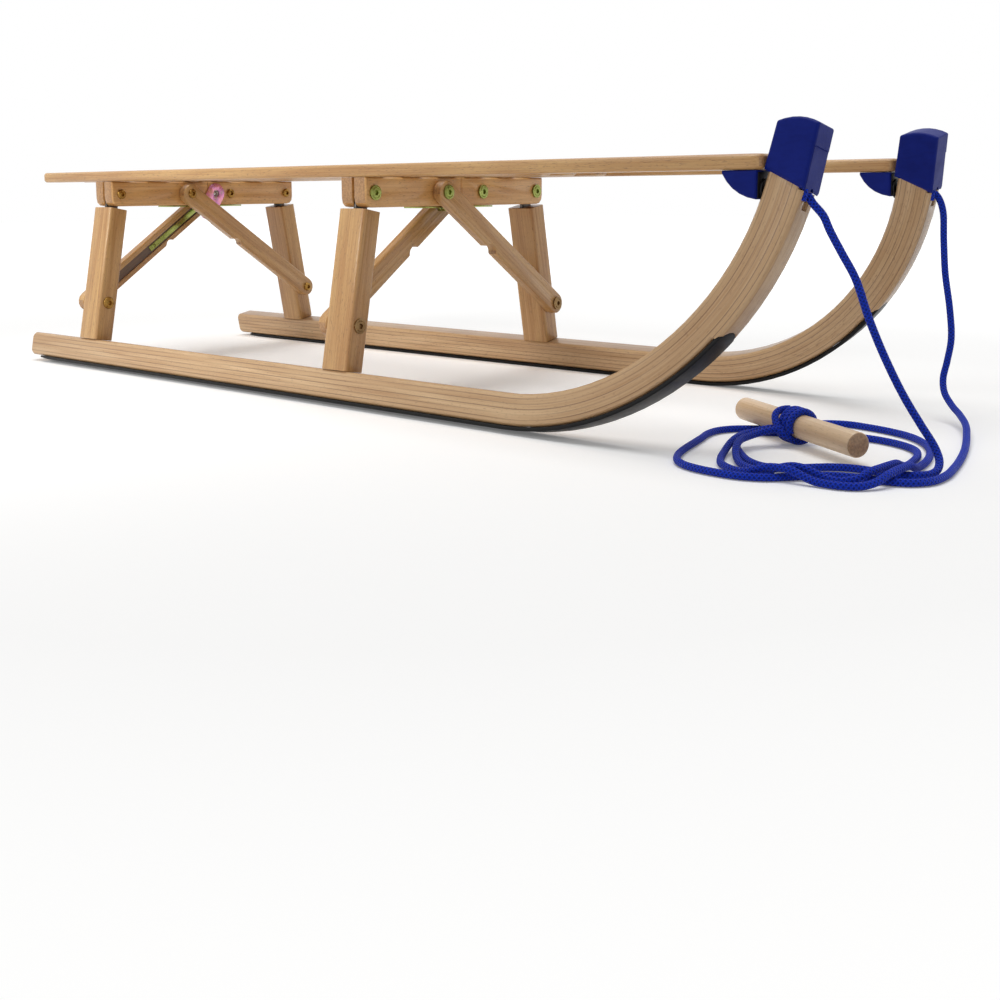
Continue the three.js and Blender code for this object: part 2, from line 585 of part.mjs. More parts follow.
// Pull cord: hand-chosen points from each cap's mouth along the ground to the knot on the handle
const ropeRoutes = {
  right: [
    [521.5, -131.2, 189], [526.6, -130.2, 178], [535, -128, 162], [545, -125, 143], [553.5, -119, 114],
    [563.5, -111, 84.5], [575.5, -103, 56], [587.5, -98, 34.5], [597, -96, 19.5], [602, -99.5, 10.8],
    [603.6, -106.5, 5.6], [602, -115, 3.4], [597, -124.5, 3.3], [588, -131.5, 3.3], [576, -133, 3.3],
    [562, -131.5, 3.3], [548, -133, 3.3], [536, -139, 3.3], [524, -151, 3.3], [512, -163, 3.3],
    [498, -167.5, 3.3], [481, -159, 3.3], [461, -136, 3.3], [443, -109, 3.3], [431, -83, 3.3],
    [427.5, -68, 3.3], [430.5, -56, 3.3], [443, -48, 3.3], [462, -41, 3.3], [480, -32, 3.3],
    [498, -24, 3.3], [516, -20, 3.3], [533, -22.5, 3.3], [550, -30, 3.3], [563.5, -42, 3.3],
    [572, -60, 3.3], [576.5, -81, 3.3], [578.5, -101, 3.6], [579.3, -113, 6.2], [579.7, -124, 9.6],
    [579.3, -137, 10.5], [578, -149, 10.5], [575.5, -161, 9.7], [570, -171, 5.4], [561, -176.5, 3.5],
    [552, -178.3, 3.9], [543.5, -179.8, 6.8], [535, -181, 9.8], [526, -182, 10.4], [516.5, -183, 8],
    [507, -183.3, 4.6], [495, -181, 3.3], [481.5, -172, 3.3], [469, -157, 4.3], [461.5, -144.5, 8.1],
    [456.3, -131, 10.2], [453.6, -119.5, 10.8], [453.3, -108, 11], [456, -98.5, 12.2],
    [462, -90.5, 14.2],
  ],
  left: [
    [517.6, 132, 187.5], [519.4, 132, 161], [522.2, 131, 132], [528, 130, 99], [531, 128, 73],
    [528.5, 127, 52], [527, 123, 37], [531, 116, 25.5], [541, 106, 16.5], [554.5, 88, 11.5],
    [569.5, 58, 8.6], [581, 25, 5.8], [591, -8, 4], [600, -44, 3.3], [608, -84, 3.3], [612, -116, 3.3],
    [609.5, -138, 3.3], [601, -150, 3.3], [589, -156, 3.3], [575, -157.5, 3.3], [560, -160, 3.3],
    [546, -166, 3.3], [534, -177, 3.3], [524, -189, 3.3], [512, -200, 3.3], [497, -206, 3.3],
    [481, -207, 3.3], [464, -205, 3.3], [449, -200, 3.3], [437.5, -191, 3.3], [428.5, -177, 3.3],
    [420.5, -155, 3.3], [414, -128, 3.3], [408.5, -104, 3.3], [403.5, -84, 3.3], [403.5, -66, 3.3],
    [411, -51, 3.3], [423, -41, 3.3], [434, -33, 3.3], [444, -18, 3.3], [452, 3, 3.3], [463, 21, 3.3],
    [480, 28, 3.3], [500, 25.5, 3.3], [520, 19.5, 3.3], [540, 9, 3.3], [557.5, -8.5, 3.3],
    [573, -36, 3.3], [584, -73, 3.3], [587.5, -102, 3.6], [589.3, -115, 6.4], [590, -126, 9.8],
    [590, -138, 10.5], [589.5, -150, 10.5], [588, -162, 9.1], [584, -173.5, 5.2], [577, -183, 3.4],
    [567, -189, 3.3], [556, -190.7, 3.4], [547, -191.2, 4], [538, -191.6, 6.8], [530, -192, 9.8],
    [521, -193, 10.5], [512, -194.3, 9.8], [503, -195.2, 6.6], [494.5, -194.5, 3.9],
    [481, -189.5, 3.3], [468, -179, 3.3], [458.5, -163, 3.3], [451, -144, 3.9], [447.3, -127, 7.9],
    [446.2, -114, 10.3], [446.8, -102, 10.9], [450.5, -92.5, 12.1], [456.8, -85.5, 14.1],
  ],
};
const knotEnds = { right: [469.2, -82.9, 15.1], left: [463.3, -79.1, 15.1] };
const mouthX = runner.thickness / 2 + gap + rope.radius;

// A point in a cap's frame, given in the frame that the cord's points use
function fromCap(side, x, z) {
  const point = new THREE.Vector3(x, 0, z).applyAxisAngle(new THREE.Vector3(0, 1, 0), runner.hornLean);
  point.add(new THREE.Vector3(wheelbase + hornFootX, 0, runner.hornStart));
  point.applyAxisAngle(new THREE.Vector3(1, 0, 0), side * splay);
  return point.add(new THREE.Vector3(-middleX, side * legLineY, standHeight));
}

function ropeGeometry(sideName, side) {
  const mouthZ = -cap.frontFoot - rope.startDrop;
  const forward = rope.straight * Math.sin(rope.exitTurn);
  const down = rope.straight * Math.cos(rope.exitTurn);
  const start = [fromCap(side, mouthX, mouthZ), fromCap(side, mouthX + forward, mouthZ - down)];
  const points = [...ropeRoutes[sideName], knotEnds[sideName]].map((point) => new THREE.Vector3(...point));
  const curve = new THREE.CatmullRomCurve3([...start, ...points], false, 'centripetal');
  const steps = points.length + 1;
  const section = new THREE.Shape();
  section.absarc(0, 0, rope.radius, 0, 2 * Math.PI);
  return new THREE.ExtrudeGeometry(section, {
    steps, curveSegments: rope.sides / 2, extrudePath: curve, bevelEnabled: false,
  });
}

for (const [sideName, side] of sides) {
  piece(`rope_${sideName}`, ropeGeometry(sideName, side), material('rope', 0.8), sledge);
}

const grip = new THREE.Group();
grip.position.set(handle.x, handle.y, handle.height);
grip.rotation.z = handle.turn;
sledge.add(grip);
const halfHandle = handle.length / 2;
const stick = turned([
  [-halfHandle, 0], [-halfHandle, handle.radius - handle.endRadius],
  [handle.endRadius - halfHandle, handle.radius], [halfHandle - handle.endRadius, handle.radius],
  [halfHandle, handle.radius - handle.endRadius], [halfHandle, 0],
]);
piece('handle', stick, material('beech', 0.6), grip);

function knotGeometry() {
  const inner = handle.radius + gap;
  const outer = handle.radius + 2 * rope.radius;
  const half = knot.width / 2;
  const wraps = turned([[-half, inner], [-half, outer - rope.radius / 2], [rope.radius / 2 - half, outer],
    [half - rope.radius / 2, outer], [half, outer - rope.radius / 2], [half, inner], [-half, inner]]);
  const lump = new THREE.SphereGeometry(knot.lumpRadius, 12, 8)
    .scale(knot.lumpLengthShare, 1, 1)
    .translate(knot.lumpAlong, -knot.lumpReach * Math.cos(knot.lumpRise),
      knot.lumpReach * Math.sin(knot.lumpRise));
  const tool = rod(inner, -knot.width * 2, knot.width * 2);
  return cut(join([wraps, lump]), [tool]);
}
piece('rope_knot', knotGeometry(), material('rope', 0.8), grip);

export default sledge;
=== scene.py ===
# A folding wooden sledge, dressed over its solid frame. Metres, +X forward, +Y to its left, +Z up.
import bmesh
import bpy
import json
import math
from mathutils import Matrix, Vector


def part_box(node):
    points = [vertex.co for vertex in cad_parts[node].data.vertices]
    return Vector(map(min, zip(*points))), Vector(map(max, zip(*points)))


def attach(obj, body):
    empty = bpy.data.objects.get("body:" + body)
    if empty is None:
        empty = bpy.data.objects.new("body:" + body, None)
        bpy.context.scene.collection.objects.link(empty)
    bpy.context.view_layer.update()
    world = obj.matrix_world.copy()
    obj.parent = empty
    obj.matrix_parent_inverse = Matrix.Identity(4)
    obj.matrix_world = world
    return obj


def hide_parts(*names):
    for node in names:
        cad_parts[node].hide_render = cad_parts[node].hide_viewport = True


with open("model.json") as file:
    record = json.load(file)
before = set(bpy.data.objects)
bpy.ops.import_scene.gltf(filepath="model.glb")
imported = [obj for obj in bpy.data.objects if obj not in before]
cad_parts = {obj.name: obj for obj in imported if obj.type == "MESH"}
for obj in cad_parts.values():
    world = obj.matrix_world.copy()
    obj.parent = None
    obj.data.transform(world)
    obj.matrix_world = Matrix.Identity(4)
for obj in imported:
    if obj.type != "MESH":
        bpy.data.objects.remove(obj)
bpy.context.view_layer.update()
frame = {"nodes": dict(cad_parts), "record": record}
record = frame["record"]
bodyOf = {node: body for body, nodes in record["behaviour"]["bodies"].items() for node in nodes}
mm = 0.001
sides = {"right": -1, "left": 1}
ends = ("rear", "front")
braceFaces = {"front_face": 1, "back_face": -1}
upward = Matrix.Rotation(-math.pi / 2, 4, "Y")
downward = Matrix.Rotation(math.pi / 2, 4, "Y")
print("solid frame loaded:", len(bodyOf), "nodes")

# Camera: low in front of the right horn, just above the height of the seat
camera = {
    "place": (0.9038, -0.99068, 0.2098), "turn": 40.58, "down": 7.17, "roll": -0.45,
    "lens": 43.82, "sensor": 36.0, "shiftX": 0.0404, "shiftY": -0.1568,
}


def addCamera(values):
    turn, down, roll = (math.radians(values[key]) for key in ("turn", "down", "roll"))
    ahead = Vector((-math.sin(turn) * math.cos(down), math.cos(turn) * math.cos(down), -math.sin(down)))
    right = Vector((math.cos(turn), math.sin(turn), 0))
    up = right.cross(ahead)
    rolledRight = right * math.cos(roll) + up * math.sin(roll)
    rolledUp = up * math.cos(roll) - right * math.sin(roll)
    data = bpy.data.cameras.new("camera")
    data.lens = values["lens"]
    data.sensor_width = values["sensor"]
    data.shift_x = values["shiftX"]
    data.shift_y = values["shiftY"]
    data.clip_start = 0.01
    eye = bpy.data.objects.new("camera", data)
    bpy.context.scene.collection.objects.link(eye)
    axes = Matrix((rolledRight, rolledUp, -ahead)).transposed().to_4x4()
    eye.matrix_world = Matrix.Translation(values["place"]) @ axes
    bpy.context.scene.camera = eye


addCamera(camera)


# Meshes: each piece is one mesh in its place in the row frame
def smoothShaded(mesh, sharpAngle=35):
    mesh.polygons.foreach_set("use_smooth", [True] * len(mesh.polygons))
    mesh.set_sharp_from_angle(angle=math.radians(sharpAngle))


def finished(name, mesh, sharpAngle=35):
    mesh.update()
    smoothShaded(mesh, sharpAngle)
    piece = bpy.data.objects.new(name, mesh)
    bpy.context.scene.collection.objects.link(piece)
    return piece


def withModifiers(piece):
    seen = piece.evaluated_get(bpy.context.evaluated_depsgraph_get())
    return bpy.data.meshes.new_from_object(seen)


def flatFaced(piece):
    # normals weighted by area keep a large face flat beside its rounded edge
    weighted = piece.modifiers.new("weighted", "WEIGHTED_NORMAL")
    weighted.keep_sharp = True
    mesh = withModifiers(piece)
    piece.modifiers.clear()
    mesh.name = piece.data.name
    piece.data = mesh
    return piece


def newPiece(name, points, faces, sharpAngle=35):
    mesh = bpy.data.meshes.new(name)
    mesh.from_pydata([tuple(p) for p in points], [], faces)
    return finished(name, mesh, sharpAngle)


def skinRings(name, rings, loop=False, sharpAngle=35):
    count = len(rings[0])
    faces = []
    for i in range(len(rings) if loop else len(rings) - 1):
        a, b = i * count, (i + 1) % len(rings) * count
        faces += [(a + j, a + (j + 1) % count, b + (j + 1) % count, b + j) for j in range(count)]
    if not loop:
        faces.append(tuple(reversed(range(count))))
        faces.append(tuple((len(rings) - 1) * count + j for j in range(count)))
    return newPiece(name, [p for ring in rings for p in ring], faces, sharpAngle)


def hexRecess(angle):
    return 1 / math.cos(angle % (math.pi / 3) - math.pi / 6)


def crossRecess(angle):
    return 0.36 + 0.64 * abs(math.cos(2 * angle)) ** 4


def turned(name, profile, place, sides=40, loop=False, recess=hexRecess):
    # the profile's points are distance along X, radius and, in a recess, a third entry
    rings = []
    for along, radius, *sunk in profile:
        ring = []
        for j in range(sides):
            angle = 2 * math.pi * j / sides
            reach = radius * (recess(angle) if sunk else 1)
            ring.append(place @ Vector((along, reach * math.cos(angle), reach * math.sin(angle))))
        rings.append(ring)
    return skinRings(name, rings, loop)


def weldedMesh(node):
    # the solid's own faces, welded, with flat neighbours joined
    work = bmesh.new()
    work.from_mesh(frame["nodes"][node].data)
    bmesh.ops.remove_doubles(work, verts=work.verts, dist=0.002 * mm)
    bmesh.ops.dissolve_limit(work, angle_limit=math.radians(0.4), verts=work.verts, edges=work.edges)
    mesh = bpy.data.meshes.new(f"{node}_fine")
    work.to_mesh(mesh)
    work.free()
    for layer in ("custom_normal", "sharp_edge", "sharp_face"):
        if layer in mesh.attributes:
            mesh.attributes.remove(mesh.attributes[layer])
    return mesh


def roundEdges(mesh, width, segments=2, sharpAngle=30, chosen=None):
    work = bmesh.new()
    work.from_mesh(mesh)
    hard = [edge for edge in work.edges
            if edge.is_manifold and edge.calc_face_angle() > math.radians(sharpAngle)
            and (chosen is None or chosen(edge))]
    bmesh.ops.bevel(work, geom=hard, offset=width, offset_type="OFFSET", segments=segments,
                    profile=0.5, affect="EDGES", clamp_overlap=True)
    work.to_mesh(mesh)
    work.free()


def fineCopy(node, rounding, segments=2, slices=()):
    mesh = weldedMesh(node)
    roundEdges(mesh, rounding, segments)
    if slices:
        work = bmesh.new()
        work.from_mesh(mesh)
        for point, normal in slices:
            everything = [*work.verts, *work.edges, *work.faces]
            bmesh.ops.bisect_plane(work, geom=everything, dist=0.001 * mm, plane_co=point,
                                   plane_no=normal)
        work.to_mesh(mesh)
        work.free()
    return finished(f"{node}_fine", mesh)


def carved(mesh, carvers):
    block = bpy.data.objects.new("block", mesh)
    bpy.context.scene.collection.objects.link(block)
    for carver in carvers:
        cut = block.modifiers.new("cut", "BOOLEAN")
        cut.operation = "DIFFERENCE"
        cut.solver = "MANIFOLD"
        cut.object = carver
    result = withModifiers(block)
    for spent in (block, *carvers):
        bpy.data.objects.remove(spent)
    result.name = mesh.name
    return result


def brick(name, low, high, place):
    spans = list(zip(low, high))
    corners = [(x, y, z) for x in spans[0] for y in spans[1] for z in spans[2]]
    faces = [(0, 1, 3, 2), (4, 6, 7, 5), (0, 4, 5, 1), (2, 3, 7, 6), (0, 2, 6, 4), (1, 5, 7, 3)]
    return newPiece(name, [place @ Vector(corner) for corner in corners], faces)


def roundedBrick(name, low, high, place, rounding, segments=2):
    piece = brick(name, low, high, place)
    roundEdges(piece.data, rounding, segments)
    smoothShaded(piece.data)
    return piece


def dress(piece, finish, node=None, body=None):
    piece.data.materials.clear()
    piece.data.materials.append(finish)
    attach(piece, body or bodyOf[node])
    if body is None:
        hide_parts(node)
    return piece


def middle(node):
    low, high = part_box(node)
    return (Vector(low) + Vector(high)) / 2


# Node trees
def paint(red, green, blue):
    # a colour as a painter's 0 to 255 values
    linear = [((c / 255 + 0.055) / 1.055) ** 2.4 if c > 10 else c / 255 / 12.92
              for c in (red, green, blue)]
    return (*linear, 1.0)


def put(tree, kind, inputs=None, **settings):
    node = tree.nodes.new("ShaderNode" + kind)
    for key, value in settings.items():
        setattr(node, key, value)
    for key, value in (inputs or {}).items():
        if isinstance(value, bpy.types.NodeSocket):
            tree.links.new(value, node.inputs[key])
        else:
            node.inputs[key].default_value = value
    return node


def newGroup(name, inputs, outputs):
    tree = bpy.data.node_groups.new(name, "ShaderNodeTree")
    for label, kind, *value in inputs:
        socket = tree.interface.new_socket(label, in_out="INPUT", socket_type="NodeSocket" + kind)
        if value:
            socket.default_value = value[0]
    for label, kind in outputs:
        tree.interface.new_socket(label, in_out="OUTPUT", socket_type="NodeSocket" + kind)
    return tree, tree.nodes.new("NodeGroupInput").outputs, tree.nodes.new("NodeGroupOutput").inputs


def ramp(tree, value, low, high, bottom=0.0, top=1.0):
    return put(tree, "MapRange", {
        "Value": value, "From Min": low, "From Max": high, "To Min": bottom, "To Max": top,
    }).outputs[0]


def blend(tree, share, first, second):
    node = put(tree, "Mix", data_type="RGBA")
    for index, value in ((0, share), (6, first), (7, second)):
        if isinstance(value, bpy.types.NodeSocket):
            tree.links.new(value, node.inputs[index])
        else:
            node.inputs[index].default_value = value
    return node.outputs[2]


def scaled(tree, vector, factors):
    return put(tree, "VectorMath", {0: vector, 1: factors}, operation="MULTIPLY").outputs[0]


def noise(tree, vector, factors, detail=2.0, roughness=0.5):
    return put(tree, "TexNoise", {
        "Vector": scaled(tree, vector, factors), "Scale": 1.0, "Detail": detail, "Roughness": roughness,
    }).outputs["Fac"]


def calc(tree, operation, *values):
    return put(tree, "Math", dict(enumerate(values)), operation=operation).outputs[0]


layerDepth = 4.6 * mm


def woodGrainGroup():
    # Grain holds metres along the fibre, across it and into the piece
    tree, given, out = newGroup("woodGrain", [
        ("Grain", "Vector"), ("Cut End", "Float"), ("Layer Lines", "Float", 0.0),
        ("Fleck Depth", "Float", 1.0), ("Pale", "Color", paint(210, 168, 108)),
        ("Dark", "Color", paint(168, 118, 66)), ("Fleck", "Color", paint(96, 58, 30)),
    ], [("Color", "Color"), ("Roughness", "Float"), ("Height", "Float")])
    grain = given["Grain"]
    fibre = noise(tree, grain, (14, 620, 620), 3.0, 0.6)
    bands = noise(tree, grain, (1.6, 46, 30), 2.0, 0.45)
    rings = calc(tree, "SINE", calc(tree, "MULTIPLY", bands, 46.0))
    patches = noise(tree, grain, (5, 22, 22), 1.0)
    tone = calc(tree, "ADD", ramp(tree, fibre, 0.3, 0.7, 0.0, 0.56), ramp(tree, rings, -1, 1, 0.0, 0.3))
    tone = calc(tree, "ADD", tone, ramp(tree, patches, 0.3, 0.7, -0.12, 0.24))
    colour = blend(tree, tone, given["Pale"], given["Dark"])
    dashes = noise(tree, grain, (210, 1500, 1500), 1.0, 0.4)
    dashes = calc(tree, "MULTIPLY", ramp(tree, dashes, 0.63, 0.72), given["Fleck Depth"])
    colour = blend(tree, calc(tree, "MULTIPLY", dashes, 0.45), colour, given["Fleck"])
    depth = put(tree, "SeparateXYZ", {0: grain}).outputs[2]
    layer = calc(tree, "DIVIDE", depth, layerDepth)
    whole = calc(tree, "FLOOR", layer)
    sheet = put(tree, "TexWhiteNoise", {"W": whole}, noise_dimensions="1D").outputs["Value"]
    part = calc(tree, "FRACT", layer)
    # dark glue lines between the sheets, broken along their length
    broken = ramp(tree, noise(tree, grain, (7, 3, 260), 2.0), 0.36, 0.56, 0.2, 1.0)
    line = calc(tree, "MULTIPLY", ramp(tree, part, 0.0, 0.24, 1.0, 0.0), broken)
    glue = calc(tree, "MULTIPLY", line, given["Layer Lines"])
    shade = calc(tree, "MULTIPLY", ramp(tree, sheet, 0, 1, 0.0, 0.5), given["Layer Lines"])
    colour = blend(tree, shade, colour, given["Dark"])
    colour = blend(tree, calc(tree, "MULTIPLY", glue, 0.9), colour, given["Fleck"])
    endRings = noise(tree, grain, (40, 500, 500), 2.0)
    endTone = blend(tree, ramp(tree, endRings, 0.35, 0.65), paint(176, 132, 88), paint(132, 92, 58))
    colour = blend(tree, calc(tree, "MULTIPLY", given["Cut End"], 0.75), colour, endTone)
    tree.links.new(colour, out["Color"])
    tree.links.new(ramp(tree, fibre, 0.3, 0.7, 0.34, 0.5), out["Roughness"])
    tree.links.new(calc(tree, "SUBTRACT", fibre, calc(tree, "MULTIPLY", dashes, 0.5)), out["Height"])
    return tree


def surfaceGrainGroup():
    # fine texture of moulded or plated surfaces, with faint handling marks
    tree, given, out = newGroup("surfaceGrain", [
        ("Point", "Vector"), ("Tint", "Color"), ("Shade", "Color"), ("Grain Size", "Float"),
        ("Smooth", "Float"), ("Rough", "Float"),
    ], [("Color", "Color"), ("Roughness", "Float"), ("Height", "Float")])
    fine = put(tree, "TexNoise", {"Vector": given["Point"], "Scale": given["Grain Size"], "Detail": 2.0})
    broad = put(tree, "TexNoise", {"Vector": given["Point"], "Scale": 60.0, "Detail": 3.0}).outputs["Fac"]
    marks = noise(tree, given["Point"], (90, 900, 260), 3.0, 0.7)
    wear = calc(tree, "ADD", ramp(tree, broad, 0.3, 0.7, 0.0, 0.6), ramp(tree, marks, 0.45, 0.7, 0.0, 0.4))
    tree.links.new(blend(tree, wear, given["Tint"], given["Shade"]), out["Color"])
    rough = put(tree, "MapRange", {"Value": wear, "To Min": given["Smooth"], "To Max": given["Rough"]})
    tree.links.new(rough.outputs[0], out["Roughness"])
    tree.links.new(fine.outputs["Fac"], out["Height"])
    return tree


woodGrain = woodGrainGroup()
surfaceGrain = surfaceGrainGroup()


def newFinish(name, **constants):
    finish = bpy.data.materials.new(name)
    finish.use_nodes = True
    shader = finish.node_tree.nodes["Principled BSDF"]
    for label, value in constants.items():
        shader.inputs[label.replace("_", " ")].default_value = value
    return finish, finish.node_tree, shader


def feed(tree, shader, colour, roughness, height, bumpDepth):
    tree.links.new(colour, shader.inputs["Base Color"])
    tree.links.new(roughness, shader.inputs["Roughness"])
    bump = put(tree, "Bump", {"Height": height, "Strength": 1.0, "Distance": bumpDepth})
    tree.links.new(bump.outputs[0], shader.inputs["Normal"])


def woodFinish(name, values):
    finish, tree, shader = newFinish(name, Coat_Weight=0.35, Coat_Roughness=0.18)
    grain = put(tree, "Attribute", attribute_name="grain").outputs["Vector"]
    cutEnd = put(tree, "Attribute", attribute_name="cutEnd").outputs["Fac"]
    group = put(tree, "Group", {"Grain": grain, "Cut End": cutEnd, **values}, node_tree=woodGrain)
    feed(tree, shader, *group.outputs, 0.12 * mm)
    return finish


def platedFinish(name, tint, shade, smooth, rough, metallic=1.0, grainSize=900.0,
                 bumpDepth=0.01 * mm, **more):
    finish, tree, shader = newFinish(name, Metallic=metallic, **more)
    point = put(tree, "TexCoord").outputs["Object"]
    group = put(tree, "Group", {
        "Point": point, "Tint": tint, "Shade": shade, "Grain Size": grainSize, "Smooth": smooth,
        "Rough": rough,
    }, node_tree=surfaceGrain)
    feed(tree, shader, *group.outputs, bumpDepth)
    return finish


beechFinish = woodFinish("beech", {})
laminateFinish = woodFinish("laminate", {
    "Layer Lines": 1.0, "Pale": paint(216, 184, 142), "Dark": paint(176, 136, 92),
})
# painted light: a paler, warmer copy of beech for the crossbars, standing in for light bounced onto them
# from the wood around
bounceLitBarFinish = woodFinish("bounceLitBeech", {"Pale": paint(226, 178, 112), "Dark": paint(188, 134, 74)})
# painted shade: a dark copy of beech that lines the floor of the brace channel
channelShadeFinish = woodFinish("channelShadeBeech", {"Pale": paint(112, 82, 54), "Dark": paint(74, 52, 34)})
handleFinish = woodFinish("turnedBeech", {
    "Pale": paint(232, 204, 168), "Dark": paint(206, 170, 128), "Fleck Depth": 0.5,
})
blueFinish = platedFinish("bluePlastic", paint(10, 30, 121), paint(7, 24, 105), 0.42, 0.56, 0.0, 2600.0,
                          0.02 * mm, Specular_IOR_Level=0.12)
blackFinish = platedFinish("blackPlastic", paint(14, 14, 17), paint(22, 22, 26), 0.35, 0.5, 0.0, 2200.0,
                           0.02 * mm, Specular_IOR_Level=0.3)
soleFinish = platedFinish("soleBlack", paint(7, 7, 9), paint(12, 12, 14), 0.34, 0.52, 0.0, 1500.0,
                          0.03 * mm, Specular_IOR_Level=0.2)
whiteFinish = platedFinish("whitePlastic", paint(232, 232, 226), paint(214, 214, 206), 0.35, 0.5, 0.0)
steelFinish = platedFinish("steel", paint(190, 186, 178), paint(158, 154, 148), 0.2, 0.36)
chromeFinish = platedFinish("chrome", paint(208, 208, 208), paint(180, 180, 182), 0.1, 0.2)
darkSteelFinish = platedFinish("darkSteel", paint(96, 90, 84), paint(70, 66, 62), 0.3, 0.45)
zincFinish = platedFinish("yellowZinc", paint(164, 172, 98), paint(120, 128, 64), 0.2, 0.36)
brassFinish = platedFinish("brass", paint(168, 130, 66), paint(120, 86, 40), 0.18, 0.34)
bronzeFinish = platedFinish("bronze", paint(150, 122, 84), paint(110, 86, 58), 0.24, 0.42)


def iridescentFinish():
    # plating that runs through gold, pink, violet and green
    finish, tree, shader = newFinish("pinkZinc", Metallic=1.0)
    point = put(tree, "TexCoord").outputs["Object"]
    cloud = noise(tree, point, (70, 70, 70), 2.0)
    colours = put(tree, "ValToRGB", {"Fac": cloud})
    stops = [(0.3, paint(206, 168, 120)), (0.45, paint(222, 150, 170)), (0.58, paint(196, 130, 178)),
             (0.7, paint(170, 190, 140))]
    while len(colours.color_ramp.elements) < len(stops):
        colours.color_ramp.elements.new(0.5)
    for element, (place, colour) in zip(colours.color_ramp.elements, stops):
        element.position = place
        element.color = colour
    tree.links.new(colours.outputs["Color"], shader.inputs["Base Color"])
    tree.links.new(ramp(tree, noise(tree, point, (400, 400, 400), 3.0), 0.3, 0.7, 0.22, 0.4),
                   shader.inputs["Roughness"])
    return finish


pinkFinish = iridescentFinish()
print("finishes made:", len(bpy.data.materials))

